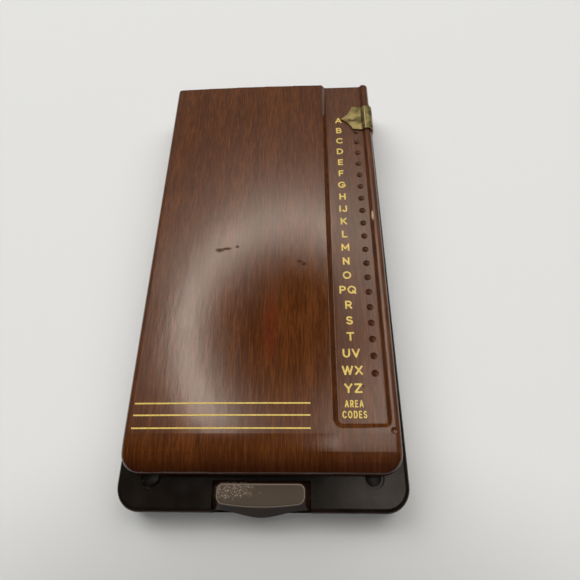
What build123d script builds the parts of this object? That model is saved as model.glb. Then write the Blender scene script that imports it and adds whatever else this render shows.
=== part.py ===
from build123d import *
import math
import os

# A pop up telephone index: a moulded base, a crowned sheet-steel lid on a rear hinge, a brass
# pointer that slides beside the letters, a stack of cards on two wire loops, and a release bar.
#
# Frame, in millimetres: origin at the centre of the footprint, on the table; +X to the right,
# +Y to the rear hinge, +Z up. Depths named "d" run forwards from a datum line across the rear.

# ---- whole object ----
DATUM_Y = 116.9
LID_TOP_Z = 25.4
FOOT_HEIGHT = 2.0

# ---- base tray ----
BASE_HALF_WIDTHS = (60.7, 61.8)
BASE_REAR_D = 0.5
BASE_FRONT_D = 233.3
BASE_CORNERS = (2.0, 10.5)
OVERRUN_X = 70.0
OVERRUN_D = (-12.0, 245.0)
OVERRUN_Z = 30.0
SHELF_Z = 13.6
SHELF_EDGE_RADIUS = 2.0
UNDER_EDGE_RADIUS = 0.8
WELL_LEFT_X = -54.7
WELL_RIGHT_X = 56.0
WELL_REAR_D = 2.4
WELL_FRONT_D = 212.4
CARD_FLOOR_Z = 6.7
GROOVE_X = 48.5
GROOVE_FLOOR_Z = 4.2
UNDERSIDE_WALL = 2.6
RIB = 2.0
INNER_WALL_X = 57.0
LEFT_WALL_TOP_Z = 19.0
RIGHT_WALL_TOP_Z = 16.9
REAR_WALL_TOP_Z = 17.5
REAR_WALL_D = 1.3
REAR_WALL_END_X = 30.0
FRONT_WALL_D = 214.6
WALL_CORNER = 7.0
BUMPER_X = 47.0
BUMPER_D = 219.9
BUMPER_RADIUS = 3.1
BUMPER_RECESS_RADIUS = 4.4
BUMPER_SEAT_Z = 12.0
BUMPER_TOP_Z = 14.1
FOOT_RADIUS = 6.0
FOOT_INSET_X = 49.0
FOOT_D = (14.0, 205.0)
FOOT_RECESS = 0.4

# ---- lid ----
LID_HALF_WIDTH = 58.8
LID_REAR_D = -1.2
LID_FRONT_D = 219.3
LID_SHEET = 0.7
LID_RIM_Z = 14.2
LID_CROWN_RADIUS = 1555.0
LID_CORNERS = (1.4, 8.5)
LID_EDGE_RADIUS = 2.9
LID_REAR_EDGE_RADIUS = 0.7
LID_DRAFT = 2.0
LID_ROLL_D = 203.5
LID_ROLL_RADII = (50.0, 16.0)
LID_ROLL_CHANGE = 8.0
LID_ROLL_END = 52.0
CHANNEL_LEFT_X = 32.5
CHANNEL_RIGHT_X = 53.2
CHANNEL_FRONT_D = 199.3
CHANNEL_FLOOR_Z = 22.9
CHANNEL_SLOPE = 45.0
CHANNEL_CORNERS = (2.2, 1.4)
CHANNEL_FLOOR_RADIUS = 0.9
CHANNEL_EDGE_RADIUS = 0.6
BEAD_DENT_X = 55.4
BEAD_DENT_D = 202.2
BEAD_DENT_DEPTH = 0.35
BEAD_DENT_BALL = 3.0
BEAD_RIM_Z = 19.8
BEAD_FRONT_D = 203.0
REAR_FLANGE_Z = 21.0

# ---- letter rows and pointer ----
ROW_A_D = 26.7
ROW_PITCH = 7.885
DIMPLE_COUNT = 20
DIMPLE_X = 49.5
DIMPLE_PAST_ROW = 1.4
DIMPLE_RADIUS = 1.65
DIMPLE_DEPTH = 0.5
POINTER_SHEET = 0.7
POINTER_GAP = 0.15
POINTER_TIP_X = 41.2
POINTER_REAR_D = 16.6
POINTER_FRONT_D = 34.3
POINTER_TIP_D = 26.2
POINTER_CORNER_X = 47.7
POINTER_WRAP_REAR_D = 17.7
POINTER_WRAP_FRONT_D = 34.9
POINTER_SKIRT_Z = 18.4
BOSS_X = 47.7
BOSS_D = 27.0
BOSS_LENGTH = 6.8
BOSS_WIDTH = 3.4
BOSS_HEIGHT = 0.85
CREASE_RADIUS = 0.4
CREASE_RISE = 0.15
CREASE_D = (19.0, 35.8)
FINGER_X = (53.5, 54.3)
FINGER_FOOT_X = 49.0
FINGER_FOOT_Z = 5.3
FINGER_SHEET = 0.8
FINGER_WIDTH = 3.0
FINGER_RIVET_X = 56.0

# ---- hinge ----
AXIS_D = 8.5
AXIS_Z = 15.0
PIN_RADIUS = 1.2
PIN_CLEARANCE = 0.05
KNUCKLE_RADIUS = 2.3
HINGE_X = (-50.0, 28.0)
KNUCKLES = 7
KNUCKLE_GAP = 0.2
LEAF = 1.0
LEAF_NOTCH = 2.2
SPRING_WIRE = 0.7
SPRING_TURN = -90.0

# ---- cards and their loops ----
LOOP_X = (-30.0, 22.0)
LOOP_RADIUS = 4.8
LOOP_WIRE_RADIUS = 0.7
CARD_LEFT_X = -52.0
CARD_RIGHT_X = 48.0
CARD_STRIP_X = 52.0
CARD_REAR_D = 11.2
CARD_FRONT_D = 205.0
CARD_THICKNESS = 0.28
CARD_PITCH = 0.36
CARD_HOLE = 2.4
CARD_STEP_MARGIN = 0.4
CARD_NAMES = ["front_sheet", "card_a", "card_b", "card_c", "card_d", "card_e", "card_f",
              "card_g", "card_h", "card_ij", "card_k", "card_l", "card_m", "card_n", "card_o",
              "card_pq", "card_r", "card_s", "card_t", "card_uv", "card_wx", "card_yz",
              "card_area_codes"]
PLATE_Z = (5.7, 6.7)
PLATE_X = (-38.0, 30.0)
PLATE_D = (2.6, 17.0)
SCREW_D = 9.0
SCREW_HEAD_RADIUS = 1.7
SCREW_X = (-41.0, -14.0, 8.0, 25.5)

# ---- release bar and latch ----
PIVOT_D = 213.0
PIVOT_Z = 7.6
LATCH_PIN_RADIUS = 1.0
EYE_RADIUS = 2.2
LEVER_HALF_WIDTH = 8.0
LEVER_SHEET = 1.2
LEVER_FRONT_D = 229.5
LEVER_TOP_Z = 17.4
LEVER_NOSE_D = 210.2
CATCH_HALF_WIDTH = 7.0
CATCH_FOOT_Z = (14.8, 16.0)
CATCH_FOOT_D = 211.2
CATCH_WEB_D = (206.9, 208.0)
CATCH_LEAF_D = 197.0
CHAMBER_FLOOR_Z = 3.4
CHAMBER_HALF_WIDTH = 16.0
CHAMBER_REAR_D = 206.0
BAR_OPENING_HALF_WIDTH = 20.6
BAR_OPENING_D = 221.0
BAR_OPENING_FRONT_D = 230.6
BAR_CHIN_D = 232.6
BAR_RIVET_D = 227.5
BAR_LIP_Z = 4.4
BAR_HALF_WIDTH = 20.4
BAR_NOSE_D = 235.0
BAR_BOTTOM_Z = 8.2
BAR_TOP_Z = 16.9
BAR_PAD_HALF_WIDTH = 17.8
BAR_PAD_D = (222.7, 229.3)
BAR_PAD_BOW = 1.4
BAR_PAD_CORNERS = (2.0, 2.8)
BAR_FLANK = 36.0
BRACKET_SHEET = 0.8
BRACKET_EAR_X = 9.0
BRACKET_D = (209.5, 216.5)
BRACKET_SCREW_X = 12.6
BRACKET_SCREW_D = 213.0
RETURN_SPRING_D = 225.0
RETURN_SPRING_RADIUS = 2.4
RETURN_SPRING_WIRE = 0.45


def y_at(d):
    """The Y coordinate of a point that lies d millimetres in front of the datum line."""
    return DATUM_Y - d


def block(x, d, z):
    """A box from its ranges in X, in depth from the datum line, and in Z."""
    size = (x[1] - x[0], d[1] - d[0], z[1] - z[0])
    centre = ((x[0] + x[1]) / 2, y_at((d[0] + d[1]) / 2), (z[0] + z[1]) / 2)
    return Pos(*centre) * Box(*size)


def disc(x, d, radius, z):
    """A cylinder that stands upright, from its centre, radius and range in Z."""
    return Pos(x, y_at(d), (z[0] + z[1]) / 2) * Cylinder(radius, z[1] - z[0])


def rod(x, d, z, radius):
    """A cylinder that lies along X, from its range in X, and its depth, height and radius."""
    return Pos((x[0] + x[1]) / 2, y_at(d), z) * Rot(0, 90, 0) * Cylinder(radius, x[1] - x[0])


def side_profile(points, x):
    """A prism along X whose outline is given as (depth, height) points."""
    outline = Polyline([(x[0], y_at(d), z) for d, z in points], close=True)
    return extrude(make_face(outline), amount=x[1] - x[0], dir=(1, 0, 0))


def plan_outline(half_widths, depths, corners):
    """A four-sided plan with rounded corners; each pair gives the rear first, then the front."""
    points = [(-half_widths[1], y_at(depths[1])), (half_widths[1], y_at(depths[1])),
              (half_widths[0], y_at(depths[0])), (-half_widths[0], y_at(depths[0]))]
    plan = make_face(Polyline(points, close=True))
    rear = plan.vertices().sort_by(Axis.Y)[2:]
    if corners[0] > 0:
        plan = fillet(rear, corners[0])
    return fillet(plan.vertices().sort_by(Axis.Y)[:2], corners[1])


def save(node, shape):
    """Writes one named piece to its own STEP file."""
    shape.label = node
    export_step(shape, os.path.join("parts", node + ".step"))


# ---------------------------------------------------------------- base

def make_base():
    """The moulded base: shelf, well, finger groove, latch chamber and ribbed underside."""
    plan = plan_outline(BASE_HALF_WIDTHS, (BASE_REAR_D, BASE_FRONT_D), BASE_CORNERS)
    body = Pos(0, 0, FOOT_HEIGHT) * extrude(plan, amount=SHELF_Z - FOOT_HEIGHT)
    body = fillet(body.faces().sort_by(Axis.Z)[-1].edges(), SHELF_EDGE_RADIUS)
    body = fillet(body.faces().sort_by(Axis.Z)[0].edges(), UNDER_EDGE_RADIUS)
    over = LEFT_WALL_TOP_Z + 1
    # upstanding walls inside the lid's skirt
    well_rear = REAR_WALL_D
    body += block((-INNER_WALL_X, WELL_LEFT_X), (well_rear, FRONT_WALL_D),
                  (SHELF_Z - 1, LEFT_WALL_TOP_Z))
    body += block((-INNER_WALL_X, INNER_WALL_X), (WELL_FRONT_D, FRONT_WALL_D),
                  (SHELF_Z - 1, RIGHT_WALL_TOP_Z))
    body += block((WELL_RIGHT_X, INNER_WALL_X), (5.0, FRONT_WALL_D),
                  (SHELF_Z - 1, RIGHT_WALL_TOP_Z))
    body += block((-INNER_WALL_X, REAR_WALL_END_X), (well_rear, WELL_REAR_D),
                  (SHELF_Z - 1, REAR_WALL_TOP_Z))
    # the upstanding walls' front corners follow the lid's corners
    walls = plan_outline((INNER_WALL_X, INNER_WALL_X), (-5, FRONT_WALL_D), (0, WALL_CORNER))
    above = block((-OVERRUN_X, OVERRUN_X), OVERRUN_D, (SHELF_Z, over))
    body -= above - Pos(0, 0, SHELF_Z) * extrude(walls, amount=over)
    # the left wall drops to the rear wall's height beside the hinge
    body -= block((-INNER_WALL_X - 1, WELL_LEFT_X + 1), (0, AXIS_D), (REAR_WALL_TOP_Z, over))
    # card well, finger groove and latch chamber
    body -= block((WELL_LEFT_X, GROOVE_X), (WELL_REAR_D, WELL_FRONT_D), (CARD_FLOOR_Z, over))
    body -= block((GROOVE_X, WELL_RIGHT_X), (WELL_REAR_D, WELL_FRONT_D), (GROOVE_FLOOR_Z, over))
    chamber = (-CHAMBER_HALF_WIDTH, CHAMBER_HALF_WIDTH)
    body -= block(chamber, (CHAMBER_REAR_D, WELL_FRONT_D + 0.1), (CHAMBER_FLOOR_Z, over))
    body -= block(chamber, (WELL_FRONT_D, BAR_OPENING_D + 1), (CHAMBER_FLOOR_Z, 10.8))
    body -= block((-9.5, 9.5), (WELL_FRONT_D - 1, 217.0), (CHAMBER_FLOOR_Z, over))
    opening = (-BAR_OPENING_HALF_WIDTH, BAR_OPENING_HALF_WIDTH)
    body -= block(opening, (BAR_OPENING_D, BAR_OPENING_FRONT_D), (CHAMBER_FLOOR_Z, over))
    body -= block(opening, (BAR_OPENING_D, BASE_FRONT_D + 1), (BAR_LIP_Z, over))
    # recess that takes the loop plate, bumper seats and foot seats
    body -= block((PLATE_X[0] - 0.2, PLATE_X[1] + 0.2), (WELL_REAR_D, PLATE_D[1] + 0.2),
                  (PLATE_Z[0], CARD_FLOOR_Z + 1))
    for side in (-1, 1):
        body -= disc(side * BUMPER_X, BUMPER_D, BUMPER_RECESS_RADIUS, (BUMPER_SEAT_Z, over))
    # hollow underside, crossed by ribs, with bosses where screws end
    rooms_x = ((-57.6, -20.0 - RIB / 2), (-20.0 + RIB / 2, 20.0 - RIB / 2),
               (20.0 + RIB / 2, GROOVE_X - UNDERSIDE_WALL))
    rooms_d = ((21.0, 72.0), (72.0 + RIB, 134.0), (134.0 + RIB, 196.0))
    for room_x in rooms_x:
        for room_d in rooms_d:
            body -= block(room_x, room_d, (FOOT_HEIGHT - 1, GROOVE_FLOOR_Z))
    for side in (-1, 1):
        x = sorted((side * 24.0, side * 50.0))
        body -= block(x, (222.0, 229.0), (FOOT_HEIGHT - 1, BUMPER_SEAT_Z - 3.0))
    for x, d in foot_places():
        body -= disc(x, d, FOOT_RADIUS + 0.1, (FOOT_HEIGHT - 1, FOOT_HEIGHT + FOOT_RECESS))
    for x in SCREW_X:
        body -= disc(x, SCREW_D, 1.2, (3.2, CARD_FLOOR_Z))
    for side in (-1, 1):
        body -= disc(side * BRACKET_SCREW_X, BRACKET_SCREW_D, 0.9, (FOOT_HEIGHT + 0.2, CHAMBER_FLOOR_Z))
    return body


def foot_places():
    """The centres of the four feet, as (x, depth)."""
    return [(side * FOOT_INSET_X, d) for d in FOOT_D for side in (-1, 1)]


def make_foot(x, d):
    """A rubber foot with a softened lower edge, seated in its shallow recess."""
    foot = disc(x, d, FOOT_RADIUS, (0, FOOT_HEIGHT + FOOT_RECESS))
    return fillet(foot.edges().sort_by(Axis.Z)[0], 0.6)


def make_bumper(side):
    """A rubber bumper with a domed top, on which the lid's front rim comes down."""
    stem = disc(side * BUMPER_X, BUMPER_D, BUMPER_RADIUS, (BUMPER_SEAT_Z, BUMPER_TOP_Z))
    rise = 0.7
    dome = (BUMPER_RADIUS ** 2 + rise ** 2) / (2 * rise)
    ball = Pos(side * BUMPER_X, y_at(BUMPER_D), BUMPER_TOP_Z - dome) * Sphere(dome)
    return stem & ball


# ---------------------------------------------------------------- lid

def roll_point(centre_y, centre_z, radius, angle):
    """A point of the front roll's arc, from the arc's centre, radius and angle past level."""
    return (0, centre_y - radius * math.sin(angle), centre_z + radius * math.cos(angle))


def lid_form(inset):
    """The lid's outer form, or the same form drawn in all round by the inset."""
    top = LID_TOP_Z - inset
    low = LID_RIM_Z - 2
    rear_d = LID_REAR_D + inset
    half = (LID_HALF_WIDTH - inset, LID_HALF_WIDTH - inset)
    front_corner = LID_CORNERS[1] - inset
    plan = plan_outline(half, (rear_d - 10, LID_FRONT_D - inset), (0, front_corner))
    walls = extrude(Pos(0, 0, low) * plan, amount=top + 3 - low, taper=LID_DRAFT)
    # side outline: level, then a gentle arc that tightens into the front roll
    gentle, tight = [radius - inset for radius in LID_ROLL_RADII]
    change = math.radians(LID_ROLL_CHANGE)
    start_y = y_at(LID_ROLL_D)
    centre_z = LID_TOP_Z - LID_ROLL_RADII[0]
    nearer = LID_ROLL_RADII[0] - LID_ROLL_RADII[1]
    tight_y = start_y - nearer * math.sin(change)
    tight_z = centre_z + nearer * math.cos(change)
    end = math.radians(LID_ROLL_END)
    middle = (change + end) / 2
    joint = roll_point(start_y, centre_z, gentle, change)
    end_point = roll_point(tight_y, tight_z, tight, end)
    rear_y = y_at(-4)
    outline = [
        Line((0, rear_y, 4), (0, rear_y, top)),
        Line((0, rear_y, top), (0, start_y, top)),
        ThreePointArc((0, start_y, top), roll_point(start_y, centre_z, gentle, change / 2), joint),
        ThreePointArc(joint, roll_point(tight_y, tight_z, tight, middle), end_point),
        Line(end_point, (0, end_point[1], 4)),
        Line((0, end_point[1], 4), (0, rear_y, 4)),
    ]
    crown_axis = Axis((0, 0, LID_TOP_Z - LID_CROWN_RADIUS), (0, 1, 0))
    crown = revolve(make_face(outline).rotate(crown_axis, -3), axis=crown_axis,
                    revolution_arc=6)
    form = walls & crown & block((-OVERRUN_X, OVERRUN_X), (rear_d, OVERRUN_D[1]), (0, OVERRUN_Z))
    rim = [e for e in form.edges() if e.center().Z > 20 and e.center().Y < y_at(4)
           and e.geom_type != GeomType.CIRCLE]
    form = fillet(rim, LID_EDGE_RADIUS - inset)
    rear = form.edges().filter_by(lambda e: e.center().Y > y_at(rear_d + 1) and e.center().Z > 22)
    form = fillet(rear, max(LID_REAR_EDGE_RADIUS - inset, 0.4))
    rear_plan = plan_outline(half, (rear_d, OVERRUN_D[1]), (LID_CORNERS[0] - inset, 1))
    return form & extrude(rear_plan, amount=OVERRUN_Z)


def channel_form(grow):
    """The pocket pressed into the lid beside its right edge, or the pocket grown all round."""
    slope = math.radians(CHANNEL_SLOPE)
    spread = grow * (1 - math.sin(slope)) / math.cos(slope)
    left = CHANNEL_LEFT_X - spread
    right = CHANNEL_RIGHT_X + spread
    rear = OVERRUN_D[0]
    front = CHANNEL_FRONT_D + spread
    plan = Pos((left + right) / 2, y_at((rear + front) / 2)) * Rectangle(right - left,
                                                                       front - rear)
    for side, radius in enumerate(CHANNEL_CORNERS):
        front_corners = plan.vertices().sort_by(Axis.Y)[:2].sort_by(Axis.X)
        plan = fillet(front_corners[-side], radius + spread)
    floor = CHANNEL_FLOOR_Z - grow
    pocket = extrude(Pos(0, 0, floor) * plan, amount=5, taper=-CHANNEL_SLOPE)
    bottom = pocket.faces().sort_by(Axis.Z)[0].edges()
    bottom = bottom.filter_by(lambda e: e.center().Y < y_at(-8))
    return fillet(bottom, CHANNEL_FLOOR_RADIUS + grow)


def make_lid():
    """The pressed lid: crowned top, skirt, pointer channel, bead and dimples."""
    outer = lid_form(0) - channel_form(0)
    brink = [e for e in outer.edges() if is_channel_brink(e)]
    outer = fillet(brink, CHANNEL_EDGE_RADIUS)
    inner = lid_form(LID_SHEET) - channel_form(LID_SHEET)
    low = LID_RIM_Z - 5
    shell = outer - inner
    shell -= block((-70, 70), (-5, 230), (low, LID_RIM_Z))
    # right side: open below the bead, as far as the front corner
    shell -= block((CHANNEL_RIGHT_X + 0.8, 70), (-5, BEAD_FRONT_D), (low, BEAD_RIM_Z))
    # rear: short flange, and skirts cut back so that they swing clear of the base
    shell -= block((-INNER_WALL_X + 0.1, INNER_WALL_X - 0.1), (-5, 1.0), (low, REAR_FLANGE_Z))
    swing = [(AXIS_D - 0.9, low), (AXIS_D - 0.9, AXIS_Z - 0.8), (AXIS_D - 3.8, AXIS_Z + 7.4),
             (AXIS_D - 11.0, AXIS_Z + 5.6), (AXIS_D - 11.0, low)]
    shell -= side_profile(swing, (-70, -INNER_WALL_X + 0.1))
    shell -= side_profile(swing, (INNER_WALL_X - 0.1, 70))
    # each dimple is pressed down from above, so it stands out as a cap below
    ball = (DIMPLE_RADIUS ** 2 + DIMPLE_DEPTH ** 2) / (2 * DIMPLE_DEPTH)
    below = block((40, 60), (0, 210), (CHANNEL_FLOOR_Z - 3, CHANNEL_FLOOR_Z - LID_SHEET / 2))
    for row in range(DIMPLE_COUNT):
        d = ROW_A_D + DIMPLE_PAST_ROW + row * ROW_PITCH
        place = Pos(DIMPLE_X, y_at(d), CHANNEL_FLOOR_Z + ball - DIMPLE_DEPTH)
        shell += place * Sphere(ball + LID_SHEET) & below
        shell -= place * Sphere(ball)
    dent_z = crown_z(BEAD_DENT_X) + BEAD_DENT_BALL - BEAD_DENT_DEPTH
    return shell - Pos(BEAD_DENT_X, y_at(BEAD_DENT_D), dent_z) * Sphere(BEAD_DENT_BALL)


def is_channel_brink(edge):
    """True for the edges where the channel's walls meet the lid's crowned top."""
    c = edge.center()
    d = DATUM_Y - c.Y
    along = CHANNEL_LEFT_X - 2.6 < c.X < CHANNEL_RIGHT_X + 1.8
    return along and 5 < d < CHANNEL_FRONT_D + 2.6 and c.Z > CHANNEL_FLOOR_Z + 1.2


def under_lid(depth, x, d):
    """A curved strip that lies against the lid's underside, from its thickness and place."""
    z = (LID_RIM_Z, LID_TOP_Z + 1)
    room = block(x, d, z)
    return (lid_form(LID_SHEET) - lid_form(LID_SHEET + depth)) & room


def make_catch():
    """The lid's catch: a leaf welded under the lid, a web down, and a foot under the latch."""
    x = (-CATCH_HALF_WIDTH, CATCH_HALF_WIDTH)
    leaf = under_lid(CATCH_WEB_D[1] - CATCH_WEB_D[0], x, (CATCH_LEAF_D, CATCH_WEB_D[1]))
    web = block(x, CATCH_WEB_D, (CATCH_FOOT_Z[0], LID_TOP_Z)) & lid_form(LID_SHEET)
    foot = block(x, (CATCH_WEB_D[0], CATCH_FOOT_D), CATCH_FOOT_Z)
    return leaf + web + foot


# ---------------------------------------------------------------- hinge

def knuckle_ranges(first):
    """The X ranges of every second knuckle, from the first one's number."""
    step = (HINGE_X[1] - HINGE_X[0]) / KNUCKLES
    half_gap = KNUCKLE_GAP / 2
    return [(HINGE_X[0] + n * step + half_gap, HINGE_X[0] + (n + 1) * step - half_gap)
            for n in range(first, KNUCKLES, 2)]


def spring_room():
    """The X range left free on the pin for the opening spring, inside one base knuckle."""
    low, high = knuckle_ranges(0)[2]
    return low + 1.5, high - 1.5


def loop_notches(z):
    """Blocks that keep the hinge leaves clear of the two wire loops."""
    reach = LOOP_RADIUS + 3
    d = (AXIS_D - reach, AXIS_D + reach)
    return [block((x - LEAF_NOTCH, x + LEAF_NOTCH), d, z) for x in LOOP_X]


def make_base_leaf():
    """The fixed leaf: a foot on the floor, a web up behind the pin, and four knuckles."""
    web_d = (AXIS_D - KNUCKLE_RADIUS, AXIS_D - KNUCKLE_RADIUS + LEAF)
    leaf = block(HINGE_X, web_d, (CARD_FLOOR_Z, AXIS_Z - KNUCKLE_RADIUS))
    leaf += block(HINGE_X, (web_d[0], AXIS_D + KNUCKLE_RADIUS), (CARD_FLOOR_Z, CARD_FLOOR_Z + 0.8))
    for x in knuckle_ranges(0):
        leaf += rod(x, AXIS_D, AXIS_Z, KNUCKLE_RADIUS)
        leaf += block(x, web_d, (CARD_FLOOR_Z, AXIS_Z))
    room = spring_room()
    leaf -= rod(room, AXIS_D, AXIS_Z, KNUCKLE_RADIUS + 0.4)
    leaf -= rod((HINGE_X[0] - 1, HINGE_X[1] + 1), AXIS_D, AXIS_Z, PIN_RADIUS)
    for x in SCREW_X:
        leaf -= disc(x, SCREW_D, 1.3, (CARD_FLOOR_Z - 1, CARD_FLOOR_Z + 2))
    return leaf


def make_lid_leaf():
    """The moving leaf: a strip under the lid, a web down before the pin, three knuckles."""
    web_d = (AXIS_D + KNUCKLE_RADIUS - LEAF, AXIS_D + KNUCKLE_RADIUS)
    leaf = under_lid(LEAF, HINGE_X, (2.4, 18.0))
    web = block(HINGE_X, web_d, (AXIS_Z + KNUCKLE_RADIUS + 0.4, LID_TOP_Z))
    leaf += web & lid_form(LID_SHEET)
    for x in knuckle_ranges(1):
        leaf += rod(x, AXIS_D, AXIS_Z, KNUCKLE_RADIUS)
        leaf += block(x, web_d, (AXIS_Z, AXIS_Z + 4))
    for notch in loop_notches((AXIS_Z - 3, AXIS_Z + LOOP_RADIUS + 1.5)):
        leaf -= notch
    return leaf - rod((HINGE_X[0] - 1, HINGE_X[1] + 1), AXIS_D, AXIS_Z,
                      PIN_RADIUS + PIN_CLEARANCE)


def make_hinge_pin():
    """The hinge pin, with a small head at its left end."""
    pin = rod((HINGE_X[0] - 0.6, HINGE_X[1] + 0.6), AXIS_D, AXIS_Z, PIN_RADIUS)
    return pin + rod((HINGE_X[0] - 1.6, HINGE_X[0]), AXIS_D, AXIS_Z, PIN_RADIUS + 0.5)


def make_opening_spring():
    """The torsion spring round the pin: a long leg down to the foot and a short one up."""
    low, high = spring_room()
    wire = SPRING_WIRE / 2
    mean = PIN_RADIUS + 0.25 + wire
    turns = 6
    start = low + 1.5 * SPRING_WIRE
    length = high - low - 3 * SPRING_WIRE
    path = Pos(start, y_at(AXIS_D), AXIS_Z) * Rot(0, 90, 0) * Helix(length / turns, length, mean)
    path = path.rotate(Axis((0, y_at(AXIS_D), AXIS_Z), (1, 0, 0)), SPRING_TURN)
    coil = sweep(Plane(path @ 0, z_dir=path % 0) * Circle(wire), path)
    lower = extrude(Plane(path @ 1, z_dir=path % 1) * Circle(wire), amount=6.8)
    upper = extrude(Plane(path @ 0, z_dir=(path % 0) * -1) * Circle(wire), amount=1.6)
    return coil + lower + upper


def make_hinge_screws():
    """The four pan-head screws that hold the fixed leaf and the loop plate to the base."""
    foot_top = CARD_FLOOR_Z + 0.8
    screws = []
    for x in SCREW_X:
        screw = disc(x, SCREW_D, 1.2, (3.2, foot_top))
        screw += disc(x, SCREW_D, SCREW_HEAD_RADIUS, (foot_top, foot_top + 1.1))
        slot = block((x - 0.3, x + 0.3), (SCREW_D - 3, SCREW_D + 3),
                     (foot_top + 0.6, foot_top + 2))
        screws.append(screw - slot)
    return Compound(children=screws)


# ---------------------------------------------------------------- cards and loops

def make_plate():
    """The steel plate under the cards that holds both wire loops."""
    plate = block(PLATE_X, PLATE_D, PLATE_Z)
    for x in LOOP_X:
        for d in (AXIS_D - LOOP_RADIUS, AXIS_D + LOOP_RADIUS):
            plate -= disc(x, d, LOOP_WIRE_RADIUS, PLATE_Z)
    for x in SCREW_X:
        plate -= disc(x, SCREW_D, 1.3, PLATE_Z)
    return plate


def make_loop(x):
    """A wire loop: two legs up from the plate, joined by a half ring about the hinge axis."""
    y = y_at(AXIS_D)
    leg_front = Line((x, y - LOOP_RADIUS, PLATE_Z[0]), (x, y - LOOP_RADIUS, AXIS_Z))
    ring = ThreePointArc((x, y - LOOP_RADIUS, AXIS_Z), (x, y, AXIS_Z + LOOP_RADIUS),
                         (x, y + LOOP_RADIUS, AXIS_Z))
    leg_rear = Line((x, y + LOOP_RADIUS, AXIS_Z), (x, y + LOOP_RADIUS, PLATE_Z[0]))
    path = Wire([leg_front, ring, leg_rear])
    section = Plane((x, y - LOOP_RADIUS, PLATE_Z[0]), z_dir=(0, 0, 1)) * Circle(LOOP_WIRE_RADIUS)
    return sweep(section, path)


def make_card(number):
    """One sheet of the stack: two square holes, and an edge strip that starts at its row."""
    z = AXIS_Z - number * CARD_PITCH
    thick = (z - CARD_THICKNESS / 2, z + CARD_THICKNESS / 2)
    card = block((CARD_LEFT_X, CARD_RIGHT_X), (CARD_REAR_D, CARD_FRONT_D), thick)
    step_d = ROW_A_D + (number - 0.5) * ROW_PITCH + CARD_STEP_MARGIN
    if number < len(CARD_NAMES) - 1:
        card += block((CARD_RIGHT_X - 1, CARD_STRIP_X), (step_d, CARD_FRONT_D), thick)
    half = CARD_HOLE / 2
    hole_d = AXIS_D + LOOP_RADIUS
    for x in LOOP_X:
        card -= block((x - half, x + half), (hole_d - half, hole_d + half), (z - 1, z + 1))
    return card


# ---------------------------------------------------------------- pointer

def crown_z(x):
    """The height of the lid's crowned top at X."""
    return LID_TOP_Z - LID_CROWN_RADIUS + math.sqrt(LID_CROWN_RADIUS ** 2 - x ** 2)


def bead_wall_x(z, offset):
    """The X of the channel's right wall at a height, moved out square to itself by an offset."""
    slope = math.radians(CHANNEL_SLOPE)
    return CHANNEL_RIGHT_X - (offset - math.sin(slope) * (z - CHANNEL_FLOOR_Z)) / math.cos(slope)


def pointer_section(inner, outer):
    """The pointer's section over the bead, in the XZ plane, between two offsets from it."""
    shapes = []
    for offset in (inner, outer):
        side = LID_HALF_WIDTH + 0.05 + offset
        foot = CHANNEL_FLOOR_Z + offset
        top = crown_z(CHANNEL_RIGHT_X) + offset
        low = POINTER_SKIRT_Z - 4
        brink = (bead_wall_x(top, offset), top)
        points = [(bead_wall_x(foot, offset), low), (bead_wall_x(foot, offset), foot), brink,
                  (side, top), (side, low)]
        face = make_face(Polyline(points, close=True))
        corner = face.vertices().sort_by_distance(brink)[0]
        face = fillet(corner, CHANNEL_EDGE_RADIUS + offset)
        corner = face.vertices().sort_by_distance((side, top))[0]
        shapes.append(fillet(corner, LID_EDGE_RADIUS - 0.5 + offset))
    return shapes[1] - shapes[0]


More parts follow.
